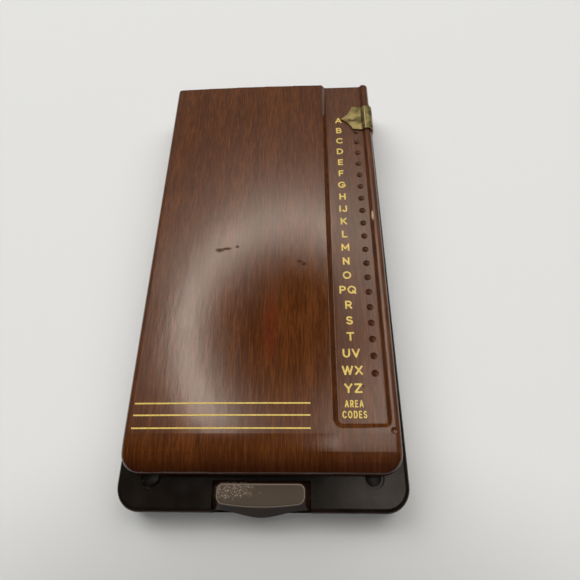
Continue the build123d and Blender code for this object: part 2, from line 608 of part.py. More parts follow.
def make_pointer():
    """The brass pointer: a plate in the channel, rolled over the bead and down the side."""
    width = POINTER_WRAP_FRONT_D - POINTER_WRAP_REAR_D
    middle = y_at((POINTER_WRAP_REAR_D + POINTER_WRAP_FRONT_D) / 2)
    floor = CHANNEL_FLOOR_Z + POINTER_GAP
    outside = POINTER_GAP + POINTER_SHEET
    wall = pointer_section(POINTER_GAP, outside)
    roll = extrude(Plane.XZ.offset(-middle) * wall, amount=width / 2, both=True)
    d = (POINTER_WRAP_REAR_D - 1, POINTER_WRAP_FRONT_D + 1)
    roll -= block((CHANNEL_RIGHT_X - 3, CHANNEL_RIGHT_X + 1), d, (0, floor))
    roll -= block((CHANNEL_RIGHT_X, 70), d, (0, POINTER_SKIRT_Z))
    # plate with two hollow flanks that meet in the tip
    edge_x = bead_wall_x(floor, POINTER_GAP)
    tip = (POINTER_TIP_X, y_at(POINTER_TIP_D))
    rear = (POINTER_CORNER_X, y_at(POINTER_REAR_D))
    front = (POINTER_CORNER_X, y_at(POINTER_FRONT_D))
    rear_bend = (POINTER_TIP_X + 4.3, y_at(POINTER_TIP_D - 4.2))
    front_bend = (POINTER_TIP_X + 4.3, y_at(POINTER_TIP_D + 4.2))
    outline = [
        ThreePointArc(tip, rear_bend, rear),
        Line(rear, (edge_x, y_at(POINTER_WRAP_REAR_D))),
        Line((edge_x, y_at(POINTER_WRAP_REAR_D)), (edge_x, y_at(POINTER_WRAP_FRONT_D))),
        Line((edge_x, y_at(POINTER_WRAP_FRONT_D)), front),
        ThreePointArc(front, front_bend, tip),
    ]
    plate = extrude(Pos(0, 0, floor) * make_face(outline), amount=POINTER_SHEET)
    # raised lens-shaped boss over the detent nib
    bow = ThreePointArc((-BOSS_LENGTH / 2, 0), (0, BOSS_WIDTH / 2), (BOSS_LENGTH / 2, 0))
    lens = revolve(make_face([bow, Line(bow @ 1, bow @ 0)]), axis=Axis.X)
    sink = floor + POINTER_SHEET + BOSS_HEIGHT - BOSS_WIDTH / 2
    boss = Pos(BOSS_X, y_at(BOSS_D), sink) * lens
    boss -= block((40, 60), d, (0, floor + POINTER_SHEET / 2))
    # crease left standing along the brink of the roll
    brink_z = crown_z(CHANNEL_RIGHT_X) + outside
    crease_x = bead_wall_x(brink_z, outside) + CREASE_RADIUS
    crease_length = CREASE_D[1] - CREASE_D[0]
    crease = Pos(crease_x, y_at(sum(CREASE_D) / 2), brink_z - CREASE_RADIUS / 2 + CREASE_RISE)
    crease *= Rot(90, 0, 0) * Cylinder(CREASE_RADIUS, crease_length)
    # arm that turns inwards under the bead
    side = LID_HALF_WIDTH + 0.05 + outside
    arm = block((FINGER_X[0], side), (ROW_A_D - 3.0, ROW_A_D + 3.0),
                (POINTER_SKIRT_Z, POINTER_SKIRT_Z + POINTER_SHEET))
    body = roll + plate + boss + crease + arm
    return body - disc(FINGER_RIVET_X, ROW_A_D, 0.8, (POINTER_SKIRT_Z - 1, POINTER_SKIRT_Z + 1))


def make_finger():
    """The steel finger: a tab under the arm, a leg down the groove and a foot below the cards."""
    half = FINGER_WIDTH / 2
    d = (ROW_A_D - half, ROW_A_D + half)
    tab = block((FINGER_X[0], 57.6), d, (POINTER_SKIRT_Z - FINGER_SHEET, POINTER_SKIRT_Z))
    leg = block(FINGER_X, d, (FINGER_FOOT_Z, POINTER_SKIRT_Z))
    foot = block((FINGER_FOOT_X, FINGER_X[1]), d, (FINGER_FOOT_Z, FINGER_FOOT_Z + FINGER_SHEET))
    hole = disc(FINGER_RIVET_X, ROW_A_D, 0.8, (POINTER_SKIRT_Z - 2, POINTER_SKIRT_Z + 1))
    return tab + leg + foot - hole


def make_finger_rivet():
    """The rivet that joins the finger to the pointer's arm."""
    low = POINTER_SKIRT_Z - FINGER_SHEET
    high = POINTER_SKIRT_Z + POINTER_SHEET
    rivet = disc(FINGER_RIVET_X, ROW_A_D, 0.8, (low, high))
    rivet += disc(FINGER_RIVET_X, ROW_A_D, 1.2, (high, high + 0.4))
    return rivet + disc(FINGER_RIVET_X, ROW_A_D, 1.2, (low - 0.3, low))


# ---------------------------------------------------------------- release bar and latch

def make_release_bar():
    """The moulded bar: a rounded thumb pad on flared flanks, with a pointed front."""
    rear = y_at(BAR_PAD_D[0])
    front = y_at(BAR_PAD_D[1])
    half = BAR_PAD_HALF_WIDTH
    crest = ThreePointArc((half, front), (0, front - BAR_PAD_BOW), (-half, front))
    pad = make_face([crest, Line((-half, front), (-half, rear)), Line((-half, rear), (half, rear)),
                     Line((half, rear), (half, front))])
    for pair, radius in enumerate(BAR_PAD_CORNERS):
        target = (0, y_at(200 if pair == 0 else 250))
        for corner in pad.vertices().sort_by_distance(target)[:2]:
            pad = fillet(pad.vertices().sort_by_distance(tuple(corner))[0], radius)
    body = extrude(Pos(0, 0, BAR_TOP_Z) * pad, amount=BAR_TOP_Z - BAR_BOTTOM_Z, dir=(0, 0, -1),
                   taper=-BAR_FLANK)
    # the outer plan runs forwards into a blunt point
    shoulder = (BAR_HALF_WIDTH, y_at(232.0))
    back_y = y_at(BAR_OPENING_D + 0.2)
    nose = Spline((-shoulder[0], shoulder[1]), (-9.0, y_at(233.6)), (0, y_at(BAR_NOSE_D)),
                  (9.0, y_at(233.6)), shoulder)
    plan = make_face([nose, Line(shoulder, (BAR_HALF_WIDTH, back_y)),
                      Line((BAR_HALF_WIDTH, back_y), (-BAR_HALF_WIDTH, back_y)),
                      Line((-BAR_HALF_WIDTH, back_y), (-shoulder[0], shoulder[1]))])
    body &= extrude(plan, amount=30)
    body = fillet(body.faces().sort_by(Axis.Z)[-1].edges(), 0.8)
    chin = [(BAR_NOSE_D + 1, BAR_BOTTOM_Z + 2.4), (BAR_NOSE_D + 1, BAR_BOTTOM_Z - 1),
            (BAR_CHIN_D, BAR_BOTTOM_Z - 1)]
    body -= side_profile(chin, (-30, 30))
    # hollow cheeks either side of the middle block that carries the lever
    for sign in (-1, 1):
        x = sorted((sign * 10.0, sign * 17.0))
        body -= block(x, (224.0, 229.0), (BAR_BOTTOM_Z - 1, BAR_TOP_Z - 2.2))
    for x in bar_rivet_places():
        body -= disc(x, BAR_RIVET_D, 0.9, (BAR_BOTTOM_Z - 1, BAR_BOTTOM_Z + 3))
    return body


def bar_rivet_places():
    """The X places of the two rivets between the bar and its lever."""
    return (-5.0, 5.0)


def make_lever():
    """The steel latch lever: rolled eye, limb under the bar, upright and hooked nose."""
    x = (-LEVER_HALF_WIDTH, LEVER_HALF_WIDTH)
    half = LEVER_SHEET / 2
    lever = rod(x, PIVOT_D, PIVOT_Z, EYE_RADIUS)
    lever += block(x, (PIVOT_D, LEVER_FRONT_D), (PIVOT_Z - half, PIVOT_Z + half))
    lever += block(x, (PIVOT_D - half, PIVOT_D + half), (PIVOT_Z, LEVER_TOP_Z))
    lever += block(x, (LEVER_NOSE_D, PIVOT_D), (LEVER_TOP_Z - LEVER_SHEET, LEVER_TOP_Z))
    lever -= rod((x[0] - 1, x[1] + 1), PIVOT_D, PIVOT_Z, LATCH_PIN_RADIUS + PIN_CLEARANCE)
    for rivet_x in bar_rivet_places():
        lever -= disc(rivet_x, BAR_RIVET_D, 0.9, (PIVOT_Z - 2, PIVOT_Z + 2))
    return lever


def make_bar_rivets():
    """The two rivets that fasten the lever under the bar."""
    half = LEVER_SHEET / 2
    rivets = []
    for x in bar_rivet_places():
        shank = disc(x, BAR_RIVET_D, 0.9, (PIVOT_Z - half, BAR_BOTTOM_Z + 3))
        rivets.append(shank + disc(x, BAR_RIVET_D, 1.6, (PIVOT_Z - half - 0.5, PIVOT_Z - half)))
    return Compound(children=rivets)


def make_bracket():
    """The U bracket that carries the latch pin: two ears and two screwed flanges."""
    floor = (CHAMBER_FLOOR_Z, CHAMBER_FLOOR_Z + BRACKET_SHEET)
    outer = BRACKET_EAR_X + BRACKET_SHEET
    bracket = block((-outer, outer), BRACKET_D, floor)
    for sign in (-1, 1):
        ear = sorted((sign * BRACKET_EAR_X, sign * outer))
        bracket += block(ear, BRACKET_D, (CHAMBER_FLOOR_Z, PIVOT_Z + 2.2))
        bracket += block(sorted((sign * outer, sign * 15.4)), BRACKET_D, floor)
        bracket -= disc(sign * BRACKET_SCREW_X, BRACKET_SCREW_D, 1.0, (0, 6))
    return bracket - rod((-12, 12), PIVOT_D, PIVOT_Z, LATCH_PIN_RADIUS)


def make_bracket_screws():
    """The two screws that hold the latch bracket."""
    top = CHAMBER_FLOOR_Z + BRACKET_SHEET
    screws = []
    for sign in (-1, 1):
        x = sign * BRACKET_SCREW_X
        shank = disc(x, BRACKET_SCREW_D, 0.9, (FOOT_HEIGHT + 0.2, top))
        screws.append(shank + disc(x, BRACKET_SCREW_D, 1.8, (top, top + 0.9)))
    return Compound(children=screws)


def make_return_spring():
    """The compression spring between the chamber floor and the lever."""
    wire = RETURN_SPRING_WIRE / 2
    low = CHAMBER_FLOOR_Z + wire + 0.02
    high = PIVOT_Z - LEVER_SHEET / 2 - wire - 0.02
    turns = 3.5
    path = Pos(0, y_at(RETURN_SPRING_D), low) * Helix((high - low) / turns, high - low,
                                                      RETURN_SPRING_RADIUS)
    return sweep(Plane(path @ 0, z_dir=path % 0) * Circle(wire), path)


def main():
    os.makedirs("parts", exist_ok=True)
    save("base_tray", make_base())
    for name, (x, d) in zip(("rear_left", "rear_right", "front_left", "front_right"),
                            foot_places()):
        save("foot_" + name, make_foot(x, d))
    save("lid_bumper_left", make_bumper(-1))
    save("lid_bumper_right", make_bumper(1))
    save("lid_shell", make_lid())
    save("lid_catch", make_catch())
    save("base_hinge_leaf", make_base_leaf())
    save("lid_hinge_leaf", make_lid_leaf())
    save("hinge_pin", make_hinge_pin())
    save("opening_spring", make_opening_spring())
    save("hinge_screws", make_hinge_screws())
    save("loop_plate", make_plate())
    save("card_loop_left", make_loop(LOOP_X[0]))
    save("card_loop_right", make_loop(LOOP_X[1]))
    for number, name in enumerate(CARD_NAMES):
        save(name, make_card(number))
    save("pointer", make_pointer())
    save("pickup_finger", make_finger())
    save("finger_rivet", make_finger_rivet())
    save("release_bar", make_release_bar())
    save("latch_lever", make_lever())
    save("bar_rivets", make_bar_rivets())
    save("latch_pin", rod((-10.6, 10.6), PIVOT_D, PIVOT_Z, LATCH_PIN_RADIUS))
    save("latch_bracket", make_bracket())
    save("bracket_screws", make_bracket_screws())
    save("return_spring", make_return_spring())


main()
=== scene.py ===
"""Dresses the pop up telephone index: studio, finishes, printed letters and fine pieces.

Lengths named with _mm are millimetres in the object's own frame: origin on the table under the
middle of the footprint, +X to the right, +Y to the hinge, +Z up. Meshes are made in metres.
"""
import logging
import math
from dataclasses import dataclass, field
from enum import Enum, IntEnum
from typing import Any, Callable, Iterable, Sequence

import bpy
from mathutils import Matrix, Vector


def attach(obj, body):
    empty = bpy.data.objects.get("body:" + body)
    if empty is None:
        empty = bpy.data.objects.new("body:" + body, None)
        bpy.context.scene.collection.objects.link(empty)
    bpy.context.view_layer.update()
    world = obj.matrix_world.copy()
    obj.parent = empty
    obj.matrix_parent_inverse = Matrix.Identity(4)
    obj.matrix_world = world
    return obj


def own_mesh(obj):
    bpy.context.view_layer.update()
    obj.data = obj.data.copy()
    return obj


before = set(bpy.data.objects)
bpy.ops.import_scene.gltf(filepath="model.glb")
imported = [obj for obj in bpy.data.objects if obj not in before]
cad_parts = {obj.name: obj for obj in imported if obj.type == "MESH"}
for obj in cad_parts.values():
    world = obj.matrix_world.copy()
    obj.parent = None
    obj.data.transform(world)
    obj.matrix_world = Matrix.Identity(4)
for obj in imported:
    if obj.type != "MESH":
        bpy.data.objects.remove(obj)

LOG = logging.getLogger("telephone_index")
MM = 0.001
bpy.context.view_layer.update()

DATUM_Y_MM = 116.9
LID_TOP_Z_MM = 25.4
LID_RIM_Z_MM = 14.2
CROWN_RADIUS_MM = 1555.0
CHANNEL_FLOOR_Z_MM = 22.9
ROW_A_DEPTH_MM = 26.7
ROW_PITCH_MM = 7.885
CARD_STACK_Z_MM = 15.0
CARD_PITCH_MM = 0.36
CARD_THICKNESS_MM = 0.28
ROWS = ("A", "B", "C", "D", "E", "F", "G", "H", "IJ", "K", "L", "M", "N", "O", "PQ", "R", "S",
        "T", "UV", "WX", "YZ")

Point = tuple[float, float]
Colour = tuple[float, float, float, float]
Socket = bpy.types.NodeSocket
Tree = bpy.types.NodeTree
Paint = str | Colour | Socket
Place = tuple[Sequence[float], Sequence[float]]


class Mix(IntEnum):
    """Numbers of the colour sockets on a Mix node, whose names repeat."""

    FACTOR = 0
    FIRST = 6
    SECOND = 7
    RESULT = 2


# ------------------------------------------------------------------ small helpers

def depth_to_y(depth_mm: float) -> float:
    """Turns a depth in front of the datum line at the rear into the Y coordinate."""
    return DATUM_Y_MM - depth_mm


def crown_z(x_mm: float) -> float:
    """Gives the height of the lid's crowned top at X, in millimetres."""
    return LID_TOP_Z_MM - CROWN_RADIUS_MM + math.sqrt(CROWN_RADIUS_MM ** 2 - x_mm ** 2)


def linear(hex_colour: str) -> Colour:
    """Turns an sRGB hex colour into the linear colour that a shader socket takes.

    Args:
        hex_colour: A hash and six hex digits.

    Returns:
        Linear red, green and blue, and an alpha of 1.
    """
    channels = [int(hex_colour[i:i + 2], 16) / 255 for i in (1, 3, 5)]
    out = [c / 12.92 if c <= 0.04045 else ((c + 0.055) / 1.055) ** 2.4 for c in channels]
    return (out[0], out[1], out[2], 1.0)


def grey(value: float) -> Colour:
    """Gives the linear grey of one value, for ramps that carry a plain number."""
    return (value, value, value, 1.0)


def add_node(tree: Tree, kind: str, inputs: dict[Any, Any] | None = None,
             stops: Sequence[tuple[float, Colour]] = (), **settings: Any) -> bpy.types.Node:
    """Adds one shader node with its settings and links.

    Args:
        tree: The node tree that it joins.
        kind: The node's type name, without the "ShaderNode" in front.
        inputs: Input sockets by name or number; an output socket is linked, a value is set.
        stops: For a colour ramp, pairs of position and colour, from low to high.
        settings: Attributes of the node, such as operation.

    Returns:
        The new node.
    """
    made = tree.nodes.new("ShaderNode" + kind)
    for name, value in settings.items():
        setattr(made, name, value)
    if stops:
        elements = made.color_ramp.elements
        while len(elements) < len(stops):
            elements.new(1.0)
        for element, (place, colour) in zip(elements, stops):
            element.position = place
            element.color = colour
    for name, value in (inputs or {}).items():
        if isinstance(value, Socket):
            tree.links.new(value, made.inputs[name])
        else:
            made.inputs[name].default_value = value
    return made


@dataclass
class Nodes:
    """A node tree being built."""

    tree: Tree

    def add(self, kind: str, inputs: dict[Any, Any] | None = None, out: Any = 0,
            **more: Any) -> Socket:
        """Adds a node to the tree and gives the chosen output; see add_node."""
        return add_node(self.tree, kind, inputs, **more).outputs[out]


@dataclass
class Surface(Nodes):
    """A material being built: its node tree and its Principled shader."""

    name: str
    tree: Tree = field(init=False)
    material: bpy.types.Material = field(init=False)
    shader: bpy.types.Node = field(init=False)

    def __post_init__(self) -> None:
        """Makes the empty material with a Principled shader on its output."""
        self.material = bpy.data.materials.new(self.name)
        self.material.use_nodes = True
        self.tree = self.material.node_tree
        self.tree.nodes.clear()
        self.shader = add_node(self.tree, "BsdfPrincipled")
        add_node(self.tree, "OutputMaterial", {"Surface": self.shader.outputs["BSDF"]})

    def set(self, **values: Any) -> None:
        """Sets or links the shader's inputs.

        Args:
            values: Numbers, colours or sockets, by the input's name with its spaces as underscores.
        """
        for name, value in values.items():
            socket = self.shader.inputs[name.replace("_", " ")]
            if isinstance(value, Socket):
                self.tree.links.new(value, socket)
            else:
                socket.default_value = value

    def cloud(self, size_mm: float | Sequence[float], detail: float = 2.0,
              shift: Sequence[float] = (0.0, 0.0, 0.0)) -> Socket:
        """Blotches of a real size in the object's frame.

        Args:
            size_mm: The blotches' size in millimetres, one for all ways or along X, Y and Z.
            detail: The octaves of finer blotches within them.
            shift: A shift of the pattern, in blotches.

        Returns:
            A value about 0.5.
        """
        sizes = (size_mm,) * 3 if isinstance(size_mm, float) else size_mm
        place = self.add("TexCoord", out="Object")
        scaled = self.add("Mapping", {"Vector": place, "Location": tuple(shift),
                                      "Scale": tuple(1.0 / (size * MM) for size in sizes)})
        return self.add("TexNoise", {"Vector": scaled, "Scale": 1.0, "Detail": detail})

    def spot(self, centre_mm: Sequence[float], reach_mm: Sequence[float],
             ragged: float = 0.35) -> Socket:
        """One worn place: a soft ellipsoid with a ragged border.

        Args:
            centre_mm: Its middle, as X, Y and Z.
            reach_mm: Its half sizes along X, Y and Z.
            ragged: How far the border wanders, as a share of the half sizes.

        Returns:
            A value that is 1 inside and 0 outside.
        """
        place = self.add("TexCoord", out="Object")
        moved = self.add("VectorMath", {0: place, 1: tuple(c * MM for c in centre_mm)},
                         operation="SUBTRACT")
        unit = self.add("VectorMath", {0: moved, 1: tuple(1.0 / (r * MM) for r in reach_mm)},
                        operation="MULTIPLY")
        far = self.add("VectorMath", {0: unit}, out="Value", operation="LENGTH")
        noise = self.cloud(min(reach_mm[:2]) * 0.6, 3.0)
        edge = self.add("Math", {0: noise, 1: 2.0 * ragged, 2: far}, operation="MULTIPLY_ADD")
        return self.add("MapRange", {"Value": edge, "From Min": 1.15 + ragged,
                                     "From Max": 0.75 + ragged})

    def coats(self, ground: Paint, *layers: tuple[Socket, Paint]) -> Socket:
        """Lays coats of colour over a ground, one above another.

        Args:
            ground: The lowest colour: a hex string, a linear colour or a socket.
            layers: For each coat, where it lies from 0 to 1, and its colour.

        Returns:
            The colour with all its coats.
        """
        top = linear(ground) if isinstance(ground, str) else ground
        for where, paint in layers:
            over = linear(paint) if isinstance(paint, str) else paint
            top = self.add("Mix", {Mix.FACTOR: where, Mix.FIRST: top, Mix.SECOND: over},
                           Mix.RESULT, data_type="RGBA")
        return top


def mesh_object(name: str, vertices: Iterable[Sequence[float]],
                faces: Iterable[Sequence[int]]) -> bpy.types.Object:
    """Makes a mesh object from vertices in millimetres.

    Args:
        name: The piece's name.
        vertices: Points in the object's frame, in millimetres.
        faces: Lists of vertex numbers.

    Returns:
        The new object, linked to the scene.
    """
    mesh = bpy.data.meshes.new(name)
    mesh.from_pydata([tuple(c * MM for c in v) for v in vertices], [], [tuple(f) for f in faces])
    mesh.update()
    made = bpy.data.objects.new(name, mesh)
    bpy.context.scene.collection.objects.link(made)
    return made


def dress(target: bpy.types.Object, material: bpy.types.Material) -> None:
    """Gives every face of an object one material.

    Args:
        target: The CAD node or new piece.
        material: The finish that it gets.
    """
    LOG.info("%s gets %s", target.name, material.name)
    if not target.material_slots:
        target.data.materials.append(material)
    for material_slot in target.material_slots:
        material_slot.material = material


def fit_to_body(piece: bpy.types.Object, body: str) -> None:
    """Makes a new piece ride on its body."""
    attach(piece, body)


# ------------------------------------------------------------------ finishes

@dataclass(frozen=True)
class PrintedEnamel:
    """Sheet steel, roller-printed with wood grain on baked enamel, under clear lacquer.

    The print gives fine dark streaks along the lid over a red-brown ground, and painted shade
    darkens the front roll. The lacquer gives a clear gloss, dulled in patches and along the
    pointer's channel. Handling has left scuffs, specks and one chip down to the cream primer,
    painted shade darkens the row of dimples, and the cut lower edge shows bare steel. The underside
    has primer only.
    """

    ground_dark: str = "#3f200b"
    ground: str = "#4b270e"
    ground_light: str = "#5b3214"
    pore: str = "#2b150a"
    flush: str = "#5e1f0e"
    # Painted shade laid on the forward-facing front roll.
    roll: str = "#2b0f05"
    # Painted shade in the dimples.
    dimple_shade: str = "#2a130b"
    primer: str = "#2a1a12"
    chip: str = "#b9a886"
    scuff: str = "#422619"
    bare_steel: str = "#b7a59c"
    streak_mm: float = 0.6
    streak_length_mm: float = 9.0
    figure_mm: float = 7.0
    figure_length_mm: float = 90.0
    pore_mm: float = 0.34
    pore_length_mm: float = 3.4
    through_mm: float = 60.0
    flush_mm: Place = ((3.1, depth_to_y(156.0), 25.0), (3.2, 17.0, 30.0))
    speck_mm: float = 0.45
    dirt_mm: float = 24.0
    chip_mm: Place = ((54.4, depth_to_y(95.0), 24.0), (0.45, 2.9, 1.2))
    dulled_mm: Sequence[float] = (17.0, 26.0, 17.0)
    ripple_mm: Sequence[float] = (4.0, 16.0, 4.0)
    fine_ripple_mm: Sequence[float] = (0.35, 2.4, 0.35)
    relief_mm: float = 0.03
    lacquer_roughness: Point = (0.09, 0.15)
    channel_roughness: float = 0.12
    rim_mm: float = 0.45
    channel_x_mm: Point = (31.5, 34.5)
    dimple_x_mm: float = 49.3
    dimple_past_row_mm: float = 1.7
    dimple_count: int = 20
    scuffs_mm: tuple[Place, ...] = (
        ((-23.4, depth_to_y(115.4), 25.0), (2.2, 1.1, 5.0)),
        ((-20.0, depth_to_y(114.6), 25.0), (2.6, 0.8, 5.0)),
        ((-14.7, depth_to_y(113.6), 25.0), (0.9, 0.7, 5.0)),
        ((16.6, depth_to_y(122.4), 25.0), (1.4, 0.9, 5.0)),
        ((18.7, depth_to_y(123.9), 25.0), (1.3, 1.1, 5.0)),
        ((44.0, depth_to_y(183.6), 23.0), (0.6, 0.5, 3.0)))

    def print_grain(self, surface: Surface) -> Socket:
        """Prints the wood: ground, broad figure, streaks, pores and a redder patch.

        Args:
            surface: The material being built.

        Returns:
            The printed colour.
        """
        streaks = surface.cloud((self.streak_mm, self.streak_length_mm, self.through_mm), 3.0)
        figure = surface.cloud((self.figure_mm, self.figure_length_mm, self.through_mm), 2.0)
        most = surface.add("Math", {0: streaks, 1: 0.7}, operation="MULTIPLY")
        both = surface.add("Math", {0: figure, 1: 0.3, 2: most}, operation="MULTIPLY_ADD")
        ground = surface.add("ValToRGB", {"Fac": both}, stops=(
            (0.38, linear(self.ground_dark)), (0.5, linear(self.ground)),
            (0.62, linear(self.ground_light))))
        redder = surface.add("Math", {0: surface.spot(*self.flush_mm, 0.8), 1: 0.4},
                             operation="MULTIPLY")
        pores = surface.cloud((self.pore_mm, self.pore_length_mm, self.through_mm), 1.0)
        pore = surface.add("MapRange", {"Value": pores, "From Min": 0.56, "From Max": 0.72,
                                        "To Max": 0.55})
        return surface.coats(ground, (redder, self.flush), (pore, self.pore))

    def dimple_shade_mask(self, surface: Surface) -> Socket:
        """Finds where painted shade darkens the row of dimples beside the letters.

        Args:
            surface: The material being built.

        Returns:
            A value that is highest low down in each dimple, and 0 outside them.
        """
        first = depth_to_y(ROW_A_DEPTH_MM + self.dimple_past_row_mm)
        middle = first - (self.dimple_count - 1) / 2 * ROW_PITCH_MM
        place = surface.add("TexCoord", out="Object")
        moved = surface.add("VectorMath", {0: place, 1: (self.dimple_x_mm * MM, first * MM, 0.0)},
                            operation="SUBTRACT")
        split = add_node(surface.tree, "SeparateXYZ", {"Vector": moved})
        nearest = surface.add("Math", {0: split.outputs["Y"], 1: ROW_PITCH_MM / 2 * MM},
                              operation="PINGPONG")
        flat = surface.add("CombineXYZ", {"X": split.outputs["X"], "Y": nearest})
        far = surface.add("VectorMath", {0: flat}, out="Value", operation="LENGTH")
        inside = surface.add("Math", {0: split.outputs["Y"], 1: (middle - first) * MM,
                                      2: self.dimple_count / 2 * ROW_PITCH_MM * MM},
                             operation="COMPARE")
        return surface.add("MapRange", {"Value": far, "From Min": 1.5 * MM, "From Max": 0.5 * MM,
                                        "To Max": inside})

    def wear(self, surface: Surface, colour: Socket) -> tuple[Socket, Socket]:
        """Adds the scuffs, the specks of dirt, the painted shade in the dimples and the chip on the
        bead.

        Args:
            surface: The material being built.
            colour: The printed grain.

        Returns:
            The colour with its wear, and where the gloss has gone.
        """
        specks = surface.cloud(self.speck_mm, 2.0, (3.0, 8.0, 1.0))
        region = surface.cloud(self.dirt_mm, 2.0, (5.0, 5.0, 0.0))
        both = surface.add("Math", {0: region, 1: 0.35, 2: specks}, operation="MULTIPLY_ADD")
        marks = surface.add("MapRange", {"Value": both, "From Min": 0.88, "From Max": 0.95,
                                         "To Max": 0.7})
        for centre, reach in self.scuffs_mm:
            scuff = surface.spot(centre, reach, 0.7)
            marks = surface.add("Math", {0: marks, 1: scuff}, operation="MAXIMUM")
        # Painted shade: each dimple is darkened towards its middle, and loses its gloss there.
        dimple_shade = self.dimple_shade_mask(surface)
        colour = surface.coats(colour, (marks, self.scuff), (dimple_shade, self.dimple_shade),
                               (surface.spot(*self.chip_mm, 0.5), self.chip))
        return colour, surface.add("Math", {0: marks, 1: dimple_shade}, operation="MAXIMUM")

    def make(self) -> bpy.types.Material:
        """Builds the printed enamel.

        Returns:
            The lid's material.
        """
        surface = Surface("lid_printed_enamel_lacquered")
        colour, marks = self.wear(surface, self.print_grain(surface))
        normal = surface.add("TexCoord", out="Normal")
        facing = surface.add("SeparateXYZ", {"Vector": normal}, out="Z")
        under = surface.add("MapRange", {"Value": facing, "From Min": -0.05, "From Max": -0.2})
        # Painted shade: faces that turn forward on the front roll are darkened.
        forward = surface.add("SeparateXYZ", {"Vector": normal}, out="Y")
        front_roll_shade = surface.add("MapRange", {"Value": forward, "From Min": -0.08, "From Max": -0.6,
                                          "To Max": 0.75})
        place = surface.add("TexCoord", out="Object")
        split = add_node(surface.tree, "SeparateXYZ", {"Vector": place})
        rim = surface.add("MapRange", {"Value": split.outputs["Z"],
                                       "From Min": (LID_RIM_Z_MM + self.rim_mm) * MM,
                                       "From Max": (LID_RIM_Z_MM + self.rim_mm * 0.6) * MM})
        colour = surface.coats(colour, (under, self.primer), (front_roll_shade, self.roll),
                               (rim, self.bare_steel))
        dulled = surface.cloud(self.dulled_mm, 5.0, (1.0, 2.0, 3.0))
        dull = surface.add("MapRange", {"Value": dulled, "From Min": 0.3, "From Max": 0.7,
                                        "To Min": self.lacquer_roughness[0],
                                        "To Max": self.lacquer_roughness[1]})
        rubbed = surface.add("MapRange", {"Value": split.outputs["X"],
                                          "From Min": self.channel_x_mm[0] * MM,
                                          "From Max": self.channel_x_mm[1] * MM,
                                          "To Min": 0.0, "To Max": self.channel_roughness})
        dull = surface.add("Math", {0: dull, 1: rubbed}, operation="ADD")
        matte = surface.add("Math", {0: under, 1: marks}, operation="MAXIMUM")
        gloss = surface.add("MapRange", {"Value": matte, "To Min": 1.0, "To Max": 0.15})
        ripple = surface.cloud(self.ripple_mm, 2.0)
        fine = surface.cloud(self.fine_ripple_mm, 2.0)
        relief = surface.add("Math", {0: fine, 1: 0.22, 2: ripple}, operation="MULTIPLY_ADD")
        bump = surface.add("Bump", {"Height": relief, "Distance": self.relief_mm * MM})
        surface.set(Base_Color=colour, Metallic=rim, Roughness=0.5, Specular_IOR_Level=0.0,
                    Coat_Weight=gloss, Coat_Roughness=dull, Coat_IOR=1.52, Normal=bump,
                    Coat_Normal=bump)
        return surface.material


@dataclass(frozen=True)
class TarnishedBrass:
    """Stamped sheet brass, dulled by years of handling.

    Tarnish lies in soft olive clouds over the yellow metal, with faint die lines along X and a
    few dark specks. Handling has kept it satin. A painted highlight runs down its crease and along
    its raised boss's rear crest, and the sheared front edge is paler.
    """

    bright: str = "#b0a473"
    tarnish: str = "#8b8156"
    dark: str = "#5e5636"
    # Painted highlight, laid on the crease and on the boss's rear crest.
    painted_highlight: str = "#e0d4a4"
    cut: str = "#cdb39a"
    cloud_mm: float = 5.0
    speck_mm: float = 0.4
    die_line_mm: Sequence[float] = (3.0, 0.12, 0.12)
    relief_mm: float = 0.006
    crease_highlight_mm: Place = ((54.84, depth_to_y(27.4), 25.6), (0.26, 9.0, 0.7))
    boss_crest_highlight_mm: Place = ((47.5, depth_to_y(25.9), 24.6), (2.6, 0.4, 1.5))

    def make(self) -> bpy.types.Material:
        """Builds the brass.

        Returns:
            The pointer's material.
        """
        surface = Surface("pointer_brass_tarnished")
        cloud = surface.cloud(self.cloud_mm, 3.0)
        ground = surface.add("ValToRGB", {"Fac": cloud}, stops=(
            (0.34, linear(self.dark)), (0.5, linear(self.tarnish)), (0.68, linear(self.bright))))
        specks = surface.cloud(self.speck_mm, 2.0)
        speck = surface.add("MapRange", {"Value": specks, "From Min": 0.64, "From Max": 0.74,
                                         "To Max": 0.6})
        normal = surface.add("TexCoord", out="Normal")
        front = surface.add("SeparateXYZ", {"Vector": normal}, out="Y")
        sheared = surface.add("MapRange", {"Value": front, "From Min": -0.45, "From Max": -0.6})
        # Painted highlights: pale spots down the crease and along the boss's rear crest.
        colour = surface.coats(ground, (speck, self.dark),
                               (surface.spot(*self.crease_highlight_mm, 0.15), self.painted_highlight),
                               (surface.spot(*self.boss_crest_highlight_mm, 0.15), self.painted_highlight),
                               (sheared, self.cut))
        rough = surface.add("MapRange", {"Value": cloud, "From Min": 0.35, "From Max": 0.65,
                                         "To Min": 0.48, "To Max": 0.36})
        lines = surface.cloud(self.die_line_mm, 1.0)
        bump = surface.add("Bump", {"Height": lines, "Distance": self.relief_mm * MM})
        surface.set(Base_Color=colour, Metallic=0.9, Roughness=rough, Normal=bump)
        return surface.material


